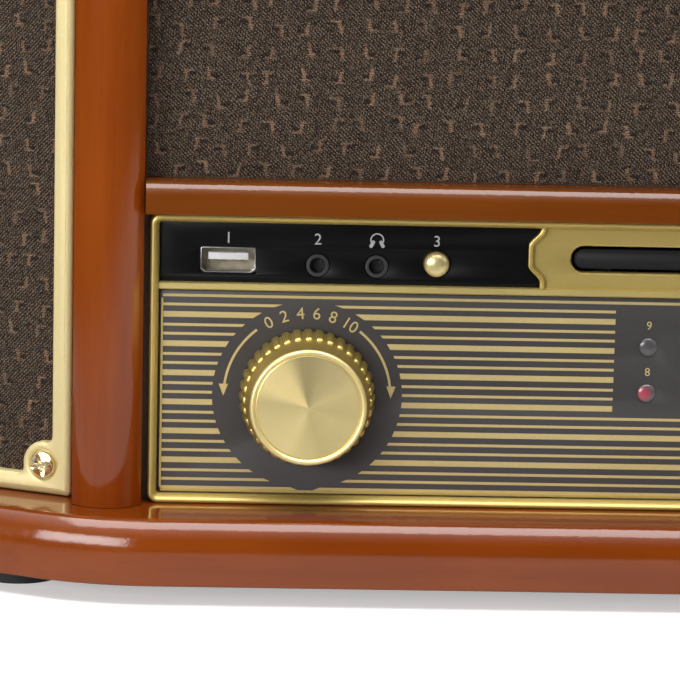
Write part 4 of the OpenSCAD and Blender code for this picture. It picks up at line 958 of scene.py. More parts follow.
# ---------------------------------------------------------------- wooden cabinet
@dataclass
class Cabinet:
    """Plinth, columns, rail, top frame and lid, all in gloss veneer."""

    plinth_round: Point2 = (4.6, 8.6)
    plinth_ease: float = 0.8
    lid_inset: float = 8.0
    lid_h: float = 46.0
    lid_back: float = 161.0
    lid_round: float = 9.0
    lid_wall: float = 8.0
    lid_ease: float = 0.6
    col_side: float = 8.6
    col_crown: float = 4.5
    rail_d: float = 12.1
    rail_round: Point2 = (2.8, 4.9)
    rail_ease: float = 0.3
    rim_w: float = 22.0

    def build(self) -> None:
        """Makes every wooden piece."""
        self.plinth()
        self.lid()
        self.columns()
        self.rail()
        self.top_frame()

    def plinth(self) -> None:
        """The plinth board, its top edge rounded over and its lower edge eased."""
        low, (rd, rh) = self.plinth_ease, self.plinth_round
        prof = arc((low, LAY.foot_h + low), low, 270, 180, 2)
        prof += arc((rd, LAY.plinth_top - rh), rd, 180, 90, 18, rh)
        rings = [raised(plan(ins, LAY.back - ins, 8.0), z) for ins, z in prof]
        dress("plinth_board", Shape().skin(rings, ends=True), WOOD_X, replaces=["plinth"], smooth=40)

    def lid(self) -> None:
        """The hinged lid with its hollow."""
        z0, z1, r, ease = LAY.rim_top, LAY.rim_top + self.lid_h, self.lid_round, self.lid_ease
        prof = [(ease, z0), (0.0, z0 + ease), *arc((r, z1 - r), r, 180, 90, 15)]
        rings = [raised(plan(self.lid_inset + ins, self.lid_back - ins, 3.0), z) for ins, z in prof]
        inner = plan(self.lid_inset + self.lid_wall, self.lid_back - self.lid_wall, 3.0)
        top, mouth = raised(inner, z1 - self.lid_wall), raised(inner, z0)
        shape = Shape().skin(rings).fill(rings[-1]).skin([rings[0], mouth]).skin([top, mouth]).fill(top)
        dress("lid_shell", shape, WOOD_X, "lid", 40, ["lid"])

    def columns(self) -> None:
        """The two convex columns beside the control panel."""
        h = (LAY.col_out - LAY.col_in) / 2
        r = (h * h + self.col_crown ** 2) / (2 * self.col_crown)
        a = math.degrees(math.asin(h / r))
        yc = LAY.baffle_y - self.col_side - self.col_crown + r
        face = arc((LAY.col_in + h, yc), r, -90 - a, -90 + a, 24)
        outline = [(LAY.col_in, LAY.baffle_y), *face, (LAY.col_out, LAY.baffle_y)]
        shape = Shape()
        for loop in (outline, mirrored(outline)):
            shape.plate(loop, [], LAY.plinth_top + GAP, LAY.cab_top, level, 0.25, 2)
        dress("column_posts", shape, WOOD_Z, smooth=28, replaces=["columns"])

    def rail(self) -> None:
        """The rail between the control panel and the cloth, its top edge a quarter ellipse."""
        y0, (rd, rh), ease = LAY.baffle_y - self.rail_d, self.rail_round, self.rail_ease
        prof = [(LAY.baffle_y, LAY.rail_z), (LAY.baffle_y, LAY.rail_top),
                *arc((y0 + rd, LAY.rail_top - rh), rd, 90, 180, 10, rh),
                (y0, LAY.rail_z + ease), (y0 + ease, LAY.rail_z)]
        rings = [[(x, y, z) for y, z in prof] for x in (0.4 - LAY.col_in, LAY.col_in - 0.4)]
        dress("front_rail", Shape().skin(rings, ends=True), WOOD_RAIL_SHADED, smooth=28, replaces=["centre_rail"])

    def top_frame(self) -> None:
        """The frame that carries the deck, under the lid."""
        outer, inner = (plan(LAY.side_inset + w, LAY.cab_back - w, 3.0) for w in (0.0, self.rim_w))
        shape = Shape().plate(outer, [inner], LAY.cab_top, LAY.rim_top, level, steps=2, back_edge=0.8)
        dress("top_rim", shape, WOOD_X, smooth=40, replaces=["top_frame"])


# ---------------------------------------------------------------- speaker wings and cloths
@dataclass
class Wings:
    """Gilt frames, cloth and screws of the two swept wings."""

    u0: float = 1.63
    u1: float = 58.25
    z0: float = 21.2
    z1: float = 177.8
    frame_t: float = 2.5
    band: float = 4.5
    end_band: float = 5.0
    lobe_r: float = 5.8
    fillet_r: float = 1.6
    screw_u: float = 7.0
    screw_v: float = 7.6
    head_r: float = 3.3
    head_gap: float = 0.45
    well_d: float = 1.3
    mitre: Point2 = (1.35, 3.2)

    def corner(self, su: int, sv: int, du: float, dv: float) -> Point2:
        """The point du and dv in from one of the frame's corners, each of su and sv 1 or -1."""
        return (self.u1 - du if su > 0 else self.u0 + du, self.z1 - dv if sv > 0 else self.z0 + dv)

    def screws(self) -> list[Point2]:
        """Places of a wing's four screws."""
        return [self.corner(su, sv, self.screw_u, self.screw_v) for su in (-1, 1) for sv in (-1, 1)]

    def lobe(self, su: int, sv: int) -> list[Point2]:
        """The opening's corner round one screw's lobe, with fillets where it meets the bands.

        Args:
            su, sv: Which corner, each 1 or -1.

        Returns:
            The corner's points, anticlockwise round the opening.
        """
        r, f = self.lobe_r, self.fillet_r
        cu, cv = self.corner(su, sv, self.screw_u, self.screw_v)
        eu, ev = self.corner(su, sv, self.band + f, self.end_band + f)
        c1 = (eu, cv - sv * math.sqrt((r + f) ** 2 - (eu - cu) ** 2))
        c2 = (cu - su * math.sqrt((r + f) ** 2 - (ev - cv) ** 2), ev)
        t1, t2 = (math.degrees(math.atan2(cv - v, cu - u)) for u, v in (c1, c2))
        a1, a2 = 0 if su > 0 else 180, 90 if sv > 0 else 270
        body = arc((cu, cv), r, t1 + 180, nearest(t2 + 180, t1 + 180), 18)
        pts = arc(c1, f, a1, nearest(t1, a1), 6) + body[1:-1] + arc(c2, f, a2, nearest(t2, a2), 6)[::-1]
        return pts if su * sv > 0 else pts[::-1]

    def mitred(self, side: int) -> Place:
        """The wing's mapping, with the edge at the column cut square to the front.

        Args:
            side: 1 right and -1 left.

        Returns:
            The mapping.
        """
        place, k = wing(side), math.tan(math.radians(LAY.sweep_a))
        lo, hi = self.mitre

        def at(u: float, d: float, v: float) -> Point3:
            """Moves points near the column's edge towards the column by their height over the back."""
            share = min(max((hi - (u - self.u0)) / (hi - lo), 0.0), 1.0)
            return place(u - max(self.frame_t - d, 0.0) * k * share, d, v)
        return at

    def build(self) -> None:
        """Makes frames, screws and cloths."""
        frames, heads = Shape(), Shape()
        outer = rounded(self.u0, self.z0, self.u1, self.z1, 1.4, 4)
        opening = [p for su, sv in ((1, 1), (-1, 1), (-1, -1), (1, -1)) for p in self.lobe(su, sv)]
        slope = [(1.9, 0.0), (1.6, 0.08), (0.8, 0.62), (0.2, 1.3), (0.0, 1.9)]
        soft = [(0.75, 0.0), (0.5, 0.07), (0.22, 0.3), (0.05, 0.7), (0.0, 1.1)]
        well = self.head_r + self.head_gap
        for side in (1, -1):
            place = wing(side)
            wells = [circle(p, well, 40) for p in self.screws()]
            frames.plate(outer, [opening, *wells], 0.0, self.frame_t, self.mitred(side), rims=(slope, soft))
            for u, v in self.screws():
                frames.cap([circle((u, v), well + 0.1, 40)], self.well_d, place)
                self.screw(heads, shifted(place, u, v))
        dress("wing_frames_gilt", frames, GILT_PALE, smooth=35, replaces=["wing_frames"])
        dress("wing_screw_heads", heads, SCREW, smooth=35, replaces=["wing_screws"])
        lo, hi = (self.u0 + 0.4, self.z0 + 0.4), (self.u1 - 0.4, self.z1 - 0.4)
        for side, name, nodes in ((1, "right", ["wing_cloths"]), (-1, "left", [])):
            obj, size = grid_sheet("wing_cloth_" + name, wing(side), lo, hi, self.frame_t + GAP, nodes,
                                   11.0 * side)
        lo, hi = (0.4 - LAY.col_in, LAY.rail_top + 0.35), (LAY.col_in - 0.4, LAY.cab_top - 0.35)
        obj, size = grid_sheet("centre_cloth_sheet", front, lo, hi, LAY.cloth_y + GAP, ["centre_cloth"])

    def screw(self, shape: Shape, place: Place) -> None:
        """One domed screw with a cross recess.

        Args:
            shape: The shape that it is added to.
            place: Its own frame.
        """
        r, n = self.head_r, 40
        prof = [(1.5, 7.0), (1.5, 1.2), (r, 1.2), (r, 0.2), *arc((0.0, 0.1), r, -10, -30, 2, 1.3)]
        rings = [[place(x, d, y) for x, y in circle((0.0, 0.0), rr, n)] for rr, d in prof]
        for share, high, waist in ((0.9, 0.95, 0.388), (0.84, 0.75, 0.28), (0.4, -0.25, 0.28)):
            rings.append([place(x, -high, y) for x, y in star(r * share, n, waist, 3, 0.3)])
        shape.skin(rings, ends=True)


def nearest(a: float, b: float) -> float:
    """The angle a, turned by whole turns to lie nearest to b."""
    return a + 360 * round((b - a) / 360)


def grid_sheet(name: str, place: Place, lo: Point2, hi: Point2, depth: float, replaces: Sequence[str],
               shift: float = 0.0) -> tuple[bpy.types.Object, Point2]:
    """A flat sheet of cloth with a map in millimetres for its pattern.

    Args:
        name: The piece's name.
        place: Turns (u, depth, v) into X, Y and Z.
        lo, hi: Its lower and upper corner.
        depth: Its depth.
        replaces: CAD nodes that it stands for.
        shift: Distance that the pattern is moved.

    Returns:
        The piece's object, and its width and height in metres.
    """
    size = (hi[0] - lo[0], hi[1] - lo[1])
    nu, nv = (max(int(length / 6), 2) for length in size)
    uvs: dict[Point3, Point2] = {}
    rows = []
    for j in range(nv + 1):
        rows.append([])
        for i in range(nu + 1):
            u, v = lo[0] + size[0] * i / nu, lo[1] + size[1] * j / nv
            rows[-1].append(place(u, depth, v))
            uvs[tuple(round(c, 2) for c in rows[-1][-1])] = (u + shift * 7, v + shift)
    obj = dress(name, Shape().skin(rows, closed=False), CLOTH, replaces=replaces,
                uv=lambda p: uvs[tuple(round(c, 2) for c in p)])
    forward = Vector(place(0, 0, 0)) - Vector(place(0, 1, 0))
    if sum(poly.normal.dot(forward) for poly in obj.data.polygons) < 0:
        obj.data.flip_normals()
    return obj, (size[0] * MM, size[1] * MM)


# ---------------------------------------------------------------- control panel
@dataclass
class ControlPanel:
    """Gilt frame, printed panel, black strips and display."""

    rim_w: float = 2.2
    rim_proud: float = 3.0
    rim_r: float = 2.6
    window_x: float = 169.85
    divider_z: float = 74.2
    upper_z0: float = 76.1
    upper_z1: float = 92.0
    slot_half: float = 68.7
    slot_z: float = 80.1
    slot_top: float = 86.6
    strip_in: float = 76.5
    strip_bow: float = 3.0
    bead_w: float = 2.3
    gap: float = 0.2
    circle_r: float = 23.5
    line_pitch: float = 7.287
    line_w: Point2 = (1.4, 0.68)
    display_half: float = 36.0
    dial_r: float = 20.6
    numeral_h: float = 2.7

    def strip_end(self, t: float) -> float:
        """X of the strip's swept end at a share t of the window's height."""
        s = min(max((abs(2 * t - 1) - 0.3) / 0.52, 0.0), 1.0)
        return self.strip_in + self.strip_bow * (1 - s * s * (3 - 2 * s))

    def strip_edge(self, dx: float, z0: float, z1: float, n: int = 44) -> list[Point2]:
        """The swept end's line, moved by dx, from the bottom up."""
        return [(self.strip_end(i / n) + dx, z0 + (z1 - z0) * i / n) for i in range(n + 1)]

    def disc_buttons(self) -> list[float]:
        """X of the four disc buttons."""
        pitch = (self.window_x - self.strip_in) * 0.2
        return [(self.window_x + self.strip_in) / 2 + k * pitch for k in (-1.5, -0.5, 0.5, 1.5)]

    def build(self) -> None:
        """Makes the whole panel."""
        self.frame()
        self.field()
        self.strips()
        self.printed_panel()
        self.gold_lines()
        window = rounded(-self.display_half, 48.0, self.display_half, 68.0, 0.5, 3)
        dress("display_glass", Shape().plate(window, [], LAY.print_y, LAY.baffle_y + 5, edge=0.2, steps=2),
              BLACK_GLOSS, smooth=30, replaces=["display_window"])
        self.labels()

    def frame(self) -> None:
        """The gilt frame: rim, divider and ledge."""
        y0, w = LAY.print_y - self.rim_proud, self.rim_w
        outer = rounded(-LAY.ctl_half, LAY.plinth_top + GAP, LAY.ctl_half, LAY.ctl_top, self.rim_r, 10)
        prof = [(0.0, LAY.baffle_y), (0.0, y0 + 1.0), (0.15, y0 + 0.45), (0.45, y0 + 0.1), (0.8, y0),
                (1.15, y0 + 0.12), (1.5, y0 + 0.5), (w - 0.25, y0 + 1.3), (w - 0.05, y0 + 2.2),
                (w, LAY.baffle_y)]
        dress("control_rim_gilt", Shape().sweep(outer, prof), GILT, smooth=32)
        bar = [(-0.95, LAY.baffle_y), (-0.95, LAY.print_y - 0.5), (-0.65, LAY.print_y - 1.0),
               (0.65, LAY.print_y - 1.1), (0.95, LAY.print_y - 0.7), (0.95, LAY.baffle_y)]
        x1, mid = LAY.ctl_half - 2, (self.divider_z + self.upper_z0) / 2
        dress("control_divider_bar", Shape().sweep([(x1, mid), (-x1, mid)], bar, closed=False), GILT_DIVIDER_LIT,
              smooth=32)
        x1, low, r, top = self.window_x - 0.85, LAY.plinth_top + w + 0.85, 1.2, self.divider_z - 2.2
        right = arc((x1 - r, low + r), r, 270, 360, 5) + [(x1, top)]
        edge = [(-0.25, LAY.print_y + 0.02), (-0.25, LAY.print_y - 0.35), (0.25, LAY.print_y - 0.35),
                (0.25, LAY.print_y + 0.02)]
        dress("panel_ledge_gilt", Shape().sweep(mirrored(right) + right, edge, closed=False), GILT, smooth=20)

    def field(self) -> None:
        """The raised field with the drawer's slot, and the bead down each swept end."""
        fy = LAY.print_y + 0.5
        z0, z1 = self.upper_z0 - 0.1, self.upper_z1 + 0.3
        edge = self.strip_edge(-0.2 - self.bead_w, z0, z1)
        slot = rounded(-self.slot_half, self.slot_z, self.slot_half, self.slot_top,
                       (self.slot_top - self.slot_z) / 2 - GAP, 12)
        lip = [(0.5, 0.0), (0.3, 0.06), (0.1, 0.25), (0.0, 0.5)]
        shape = Shape().plate(edge + mirrored(edge), [slot], fy, LAY.baffle_y, rims=([(0.0, 0.0)], lip))
        bead = [(u, fy + d) for u, d in (
            (0.0, 0.3), (0.0, -1.1), (0.1, -1.35), (0.32, -1.42), (0.45, -1.2), (0.56, -1.25), (0.68, -1.6),
            (0.84, -1.7), (1.0, -1.58), (1.18, -1.05), (1.36, -0.35), (1.6, 0.02), (1.95, 0.06),
            (self.bead_w, 0.0), (self.bead_w, 0.3))]
        path = self.strip_edge(-0.2, z0, z1)
        for line in (path, mirrored(path)):
            shape.sweep(line, bead, closed=False)
        dress("control_field_gilt", shape, GILT, smooth=40, replaces=["control_frame"])

    def strips(self) -> None:
        """The two black strips with their holes."""
        g, r, tip, hole = self.gap, 1.4, 0.6, 3.3
        x1, z0, z1 = self.window_x - g, self.upper_z0 + g, self.upper_z1 - g
        edge = [(x + tip * max(1 - (z - z0) / tip, 1 - (z1 - z) / tip, 0.0) ** 2, z)
                for x, z in self.strip_edge(g, z0, z1)]
        right = edge[::-1] + arc((x1 - r, z0 + r), r, 270, 360, 6) + arc((x1 - r, z1 - r), r, 0, 90, 6)
        left_holes = [rounded(LAY.usb_x - 7, LAY.row_z - 3.35, LAY.usb_x + 7, LAY.row_z + 3.35, 0.5, 3),
                      *(circle((x, LAY.row_z - 0.9), 3.0) for x in LAY.jack_x),
                      circle((LAY.function_x, LAY.row_z), hole)]
        shape = Shape()
        for outline, holes in ((right, [circle((x, LAY.row_z), hole) for x in self.disc_buttons()]),
                               (mirrored(right), left_holes)):
            shape.plate(outline, holes, LAY.print_y, LAY.baffle_y, edge=0.15, steps=2)
        dress("input_strips", shape, BLACK_GLOSS, smooth=30, replaces=["input_plates"])

    def printed_panel(self) -> None:
        """The charcoal panel under the printed gold lines."""
        g, half = self.gap, self.display_half + 0.15
        outer = rounded(g - self.window_x, LAY.plinth_top + self.rim_w + g, self.window_x - g,
                        self.divider_z - g, 1.4, 6)
        holes = [circle((s * LAY.knob_x, LAY.knob_z), 4.8) for s in (-1, 1)]
        holes.append(rounded(-half, 47.85, half, 68.15, 0.6, 3))
        holes += [circle((LAY.lamp_x, z), 2.32, 40) for z in LAY.lamp_z]
        dress("printed_panel", Shape().plate(outer, holes, LAY.print_y, LAY.baffle_y, edge=0.12, steps=2),
              CHARCOAL, smooth=30, replaces=["dial_plate"])

    def gold_lines(self) -> None:
        """Printed gold lines whose ends follow the circles round the knobs."""
        (broad, fine), top = self.line_w, 19.8
        bars = [(top - self.line_pitch * n, broad) for n in range(7)]
        bars += [(top - self.line_pitch * n - d, fine) for n in range(6) for d in (2.58, 4.82)]
        bars += [(24.51, fine), (22.26, fine)]
        lines = Shape()
        for z, w in bars:
            inner = 57.2 if -3.5 < z < 23.5 else 0.0
            for side in (-1, 1):
                for a, b in ((LAY.knob_x + 35.9, LAY.knob_x), (LAY.knob_x, inner)):
                    self.line(lines, side, a, b, z, w)
        dress("gold_print_lines", lines, PRINT_GOLD, smooth=20)

    def line(self, shape: Shape, side: int, a: float, b: float, z: float, w: float) -> None:
        """One printed line between x = a and x = b, one of which is the knob's axis.

        Args:
            shape: The shape that it is added to.
            side: 1 right and -1 left.
            a, b: Its ends, a the outer one.
            z: Its height over the knob's axis.
            w: Its width.
        """
        lo, hi = z - w / 2, z + w / 2
        clear_lo, clear_hi = (math.sqrt(max(self.circle_r ** 2 - v * v, 0.0)) for v in (lo, hi))
        if b == LAY.knob_x:
            quad = [(a, lo), (a, hi), (b + clear_hi, hi), (b + clear_lo, lo)]
        else:
            quad = [(a - clear_lo, lo), (a - clear_hi, hi), (b, hi), (b, lo)]
        pts = [(side * x, LAY.knob_z + v) for x, v in quad]
        mark(shape, pts if side < 0 else pts[::-1])

    def labels(self) -> None:
        """Plain numerals over the sockets and lamps, scales round the knobs and turn arrows."""
        grey, gold = Shape(), Shape()
        top = LAY.knob_z + 39.0
        for i, x in enumerate((LAY.usb_x, LAY.jack_x[0], LAY.function_x, *self.disc_buttons())):
            numerals(grey, str(i + 1), self.numeral_h, LAY.print_y, (x, top))
        self.headphones(grey, LAY.jack_x[1], top)
        for text, z in zip(("8", "9"), LAY.lamp_z):
            numerals(gold, text, 2.0, LAY.print_y, (LAY.lamp_x, z + 5.4))
        for side in (-1, 1):
            x, z = side * LAY.knob_x, LAY.knob_z
            for i in range(6):
                turn = 11.4 * (i - 2.5) + (2.4 if i == 5 else 0.0)
                numerals(gold, str(2 * i), 2.9, LAY.print_y,
                         (x + self.dial_r * sind(turn), z + self.dial_r * cosd(turn)), turn)
            self.arrows(gold, (x, z))
        dress("panel_numerals_grey", grey, PRINT_GREY, smooth=20)
        dress("panel_numerals_gold", gold, PRINT_GOLD, smooth=20)

    def arrows(self, shape: Shape, centre: Point2) -> None:
        """The two turn arrows beside a knob.

        Args:
            shape: The shape that they are added to.
            centre: The knob's axis.
        """
        r, w, tip, half = self.dial_r, 0.3, 3.0, 1.15
        x, z = centre[0] + r + 0.1, centre[1] + 2.6
        band = arc(centre, r + w, 52, 7, 24) + arc(centre, r - w, 7, 52, 24)
        for loop in (band, [(x + half, z), (x, z - tip), (x - half, z)]):
            mark(shape, loop[::-1])
            mark(shape, [(2 * centre[0] - x, z) for x, z in loop])

    @staticmethod
    def headphones(shape: Shape, x: float, z: float) -> None:
        """A small plain picture of headphones.

        Args:
            shape: The shape that it is added to.
            x, z: Its middle.
        """
        r = 1.72
        mark(shape, arc((x, z), r, -22, 202, 22) + arc((x, z), r - 0.32, 202, -22, 22))
        for side in (-1, 1):
            c, sn = cosd(28 * side), sind(28 * side)
            cup = rounded(-0.42, -0.95, 0.42, 0.95, 0.3, 3)
            mark(shape, [(x + side * 1.2 + u * c - v * sn, z - 1.0 + u * sn + v * c) for u, v in cup])


def mark(shape: Shape, outline: Outline) -> None:
    """Adds one thin printed mark to the panel's face, its outline anticlockwise."""
    shape.plate(outline, [], LAY.print_y - PRINT_T, LAY.print_y + 0.01)


# ---------------------------------------------------------------- sockets, lamps and buttons
@dataclass
class Fittings:
    """Sockets, lamps, buttons and the drawer's front."""

    usb_half: Point2 = (6.8, 3.15)
    jack_z: float = 80.7
    lamp_r: float = 2.31
    button_r: float = 3.12
    button_front: float = -150.6
    button_dome: float = 1.6
    button_collar: float = 4.1
    tray_half: float = 67.8
    tray_z: Point2 = (81.0, 85.7)
    tray_y: float = -146.6

    def build(self) -> None:
        """Makes every fitting."""
        self.usb()
        self.jacks()
        self.lamps()
        self.drawer_front()
        for node in ("function_button", "button_open", "button_play", "button_stop", "button_skip"):
            self.button(node)

    def usb(self) -> None:
        """The steel socket with its white tongue and contacts."""
        w, h = self.usb_half
        y, place = LAY.print_y, shifted(front, LAY.usb_x, LAY.row_z)

        def shell(t: float) -> list[Point2]:
            """The shell's outline drawn in by t, its lower corners clipped."""
            right = [(w - 1.0 - t, t - h), (w - t, t + 0.9 - h), (w - t, h - t - 0.3), (w - t - 0.3, h - t)]
            return right + mirrored(right)
        body = Shape().plate(shell(0.0), [shell(0.3)], y + 0.4, y + 14.0, place, 0.1, 2)
        body.plate(rounded(-w - 3, -h - 1, w + 3, h + 1, 0.6, 3), [shell(0.42)], LAY.baffle_y,
                   LAY.baffle_y + 1.2, place)
        dress("usb_shell", body, SOCKET_STEEL, smooth=30, replaces=["usb_socket"])
        dress("usb_core", Shape().plate(shell(0.25), [], y + 5.0, y + 6.5, place), SOCKET_CORE)
        tongue = rounded(-4.9, 0.0, 4.9, 1.75, 0.2, 3)
        dress("usb_tongue", Shape().plate(tongue, [], y + 0.9, y + 12.0, place, 0.15, 2), WHITE, smooth=30)
        pads = Shape()
        for x in (-3.5, -1.2, 1.2, 3.5):
            pads.plate(rounded(x - 0.55, -0.22, x + 0.55, 0.02, 0.05, 2), [], y + 1.6, y + 9.0, place)
        dress("usb_contacts", pads, BRASS)

    def jacks(self) -> None:
        """The two small round sockets."""
        y, z = LAY.print_y - 0.5, self.jack_z
        prof = [(2.84, LAY.baffle_y + 0.1), (2.84, y + 0.3), (2.74, y + 0.08), (2.6, y), (2.05, y + 0.02),
                (1.92, y + 0.12), (1.9, y + 0.8), (1.9, y + 12.0), (0.0, y + 12.0)]
        rings, clips = Shape(), Shape()
        for x in LAY.jack_x:
            rings.lathe(prof, shifted(front, x, z), 48)
            rings.plate(rounded(x - 6, z - 3.9, x + 6, z + 3.9, 0.5, 3), [], LAY.baffle_y, y + 14.5, edge=0.2,
                        steps=2)
            clips.plate(rounded(x + 0.5, z + 0.8, x + 1.0, z + 1.15, 0.1, 2), [], y + 1.7, y + 6.5)
        dress("audio_jack_rings", rings, RING, smooth=35, replaces=["audio_jacks"])
        dress("audio_jack_springs", clips, STEEL)

    def lamps(self) -> None:
        """The two lamps under their grey domes, the lower one lit."""
        r, back = self.lamp_r, LAY.baffle_y + 3
        prof = [(0.0, back), (2.9, back), (2.9, LAY.baffle_y), (r, LAY.baffle_y),
                *arc((0.0, LAY.print_y), r, 0, -90, 10, 0.7)]
        for z, (name, finish, nodes) in zip(LAY.lamp_z, (("lower", LENS_LIT, []),
                                                         ("upper", LENS, ["led_lenses"]))):
            dome = Shape().lathe(prof, shifted(front, LAY.lamp_x, z), 40)
            dress("lamp_dome_" + name, dome, finish, smooth=35, replaces=nodes)

    def drawer_front(self) -> None:
        """The skin over the disc drawer's front, its edge bevelled."""
        g = 0.06
        (z0, z1), x1 = self.tray_z, self.tray_half + g
        lip = [(0.75, 0.0), (0.55, 0.08), (0.42, 0.35), (0.3, 1.1), (0.0, 1.4)]
        shape = Shape().plate(rounded(-x1, z0 - g, x1, z1 + g, (z1 - z0) / 2, 14), [], self.tray_y - g,
                              self.tray_y + 3 + g, rims=(lip, lip))
        dress("drawer_front_skin", shape, DARK, "cd_tray", 35)

    def button(self, node: str) -> None:
        """One domed gilt button in place of its CAD node."""
        lo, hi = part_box(node)
        x, back, y = (lo[0] + hi[0]) / 2 / MM, hi[1] / MM, LAY.baffle_y
        r, collar, dome = self.button_r, self.button_collar, self.button_dome
        prof = [(0.0, back), (1.5, back), (1.5, y + 1.4), (collar, y + 1.4), (collar, y + 0.25),
                (r, y + 0.25), *arc((0.0, self.button_front + dome), r, 0, -90, 15, dome)]
        cap = Shape().lathe(prof, shifted(front, x, LAY.row_z), 56)
        dress(node + "_cap", cap, GILT_BUTTON, node, 35, [node])


# ---------------------------------------------------------------- knobs
@dataclass
class Knob:
    """One gilt knob with a spun face, a smooth cone and ribs round its back."""

    x: float
    node: str
    name: str
    face: float = 17.3
    shoulder: float = 8.4
    ribs: int = 36

    def build(self) -> None:
        """Makes the knob's face, side and ribs."""
        place = shifted(front, self.x, LAY.knob_z, LAY.print_y)
        f, top = -self.face, self.shoulder - self.face
        spun = SpunGilt(self.name + "_face", "gilt_metal", (0.5, 0.405, 0.182), 0.36, (self.x, LAY.knob_z))
        face = [(0.0, f + 0.38), (4.0, f + 0.38), (12.45, f + 0.4), (12.6, f + 0.6)]
        rim = [(12.55, f + 0.5), (12.75, f + 0.6), (12.95, f + 0.3), (13.2, f + 0.08), (13.5, f),
               (13.8, f + 0.08), (14.05, f + 0.3), (14.25, f + 0.75)]
        side = [(14.24, f + 0.7), (14.4, f + 1.4), (15.2, top - 0.5), (15.35, top), (15.6, top + 1.0),
                (16.25, -0.8), (16.0, -0.6), (10.0, -0.6), (10.0, -2.4), (6.2, -2.4), (6.2, f + 3.4),
                (3.1, f + 3.4), (3.1, f + 3.0), (0.0, f + 3.0)]
        for name, prof, finish, smooth, nodes in (("_spun_face", face, spun, 40, []),
                                                  ("_face_rim", rim, GILT_RIM, 50, []),
                                                  ("_side", side, GILT_SIDE_SHADED, 32, [self.node])):
            dress(self.name + name, Shape().lathe(prof, place, 96), finish, self.node, smooth, nodes)
        section = [(-0.3, 1.0), (0.3, 0.95), (0.8, 0.72), (1.0, 0.4)]
        section += [(out, -across) for out, across in reversed(section)]
        steps = ((-0.1, 15.3, 0.05, 0.4), (0.02, 15.36, 0.35, 0.7), (0.22, 15.4, 0.5, 0.88),
                 (0.6, 15.5, 0.56, 1.0), (-top - 0.7, 16.25, 0.6, 1.0))
        rings = [[(base + high * out, top + d, 1.05 * wide * across) for out, across in section]
                 for d, base, high, wide in steps]
        rib = Shape().skin(rings, closed=False, ends=True)
        mesh = ring_of(rib, self.ribs, self.name + "_ribs", GILT_SIDE_SHADED)
        mesh.transform(Matrix.Translation(Vector(place(0, 0, 0)) * MM))
        dress_mesh(self.name + "_ribs", mesh, GILT_SIDE_SHADED, self.node, 50)


# ---------------------------------------------------------------- repeats with Geometry Nodes
def repeat(shape: Shape, name: str, finish: Finish, line: Callable[[NodeTree, Node], Socket],
           turn: Callable[[NodeTree, Node], Socket | None], values: dict[str, tuple[str, object]]) -> Mesh:
    """Copies a shape to points with Geometry Nodes.

    Args:
        shape: One copy.
        name: Name of the tree.
        finish: The copies' finish.
        line: Adds the nodes that give the points, from the tree and its input node.
        turn: Adds the nodes that give each copy's turn, or gives nothing.
        values: Named inputs, each with its socket type and value.

    Returns:
        The plain mesh of all the copies.
    """
    base = bpy.data.meshes.new(name + "_one")
    base.from_pydata([Vector(v) * MM for v in shape.verts], [], shape.faces)
    obj = bpy.data.objects.new(name + "_one", base)
    bpy.context.scene.collection.objects.link(obj)
    tree = bpy.data.node_groups.new(name, "GeometryNodeTree")
    face = tree.interface
    face.new_socket("Geometry", in_out="INPUT", socket_type="NodeSocketGeometry")
    sockets = {key: face.new_socket(key, in_out="INPUT", socket_type=kind)
               for key, (kind, _) in values.items()}
    face.new_socket("Geometry", in_out="OUTPUT", socket_type="NodeSocketGeometry")
    new, link = tree.nodes.new, tree.links.new
    start, end = new("NodeGroupInput"), new("NodeGroupOutput")
    inst, real, coat = (new("GeometryNode" + kind) for kind in ("InstanceOnPoints", "RealizeInstances",
                                                                "SetMaterial"))
    coat.inputs["Material"].default_value = paint(finish)
    link(line(tree, start), inst.inputs["Points"])
    link(start.outputs["Geometry"], inst.inputs["Instance"])
    rotation = turn(tree, start)
    if rotation is not None:
        link(rotation, inst.inputs["Rotation"])
    link(inst.outputs[0], real.inputs[0])
    link(real.outputs[0], coat.inputs["Geometry"])
    link(coat.outputs[0], end.inputs[0])
    mod = obj.modifiers.new("copies", "NODES")
    mod.node_group = tree
    for key, (_, value) in values.items():
        mod[sockets[key].identifier] = value
    graph = bpy.context.evaluated_depsgraph_get()
    mesh = bpy.data.meshes.new_from_object(obj.evaluated_get(graph))
    obj.modifiers.clear()
    bpy.data.objects.remove(obj)
    bm = bmesh.new()
    bm.from_mesh(mesh)
    bmesh.ops.recalc_face_normals(bm, faces=bm.faces)
    bm.to_mesh(mesh)
    bm.free()
    return mesh


def ring_of(shape: Shape, count: int, name: str, finish: Finish, axis: str = "Y",
            span: float = 360.0) -> Mesh:
    """Copies a shape round an axis.

    Args:
        shape: One copy, with its radius along X.
        count: Number of copies.
        name: Name of the tree.
        finish: Their finish.
        axis: The axis, Y or Z.
        span: Angle in degrees that they are spread over.

    Returns:
        The plain mesh of all the copies.
    """
    def points(tree: NodeTree, start: Node) -> Socket:
        """As many points as there are copies, all at the axis."""
        line = tree.nodes.new("GeometryNodeMeshLine")
        line.inputs["Offset"].default_value = (0.0, 0.0, 0.0)
        tree.links.new(start.outputs["Count"], line.inputs["Count"])
        return line.outputs[0]

    def angle(tree: NodeTree, start: Node) -> Socket:
        """Turns each copy by its number of steps."""
        turn, index, way = (tree.nodes.new(kind) for kind in ("ShaderNodeMath", "GeometryNodeInputIndex",
                                                              "ShaderNodeCombineXYZ"))
        turn.operation = "MULTIPLY"
        for out, into in ((index.outputs[0], turn.inputs[0]), (start.outputs["Step"], turn.inputs[1]),
                          (turn.outputs[0], way.inputs[axis])):
            tree.links.new(out, into)
        return way.outputs[0]
    step = math.radians(span) / (count if span >= 360 else count - 1)
    return repeat(shape, name, finish, points, angle, {"Count": ("NodeSocketInt", count),
                                                       "Step": ("NodeSocketFloat", step)})


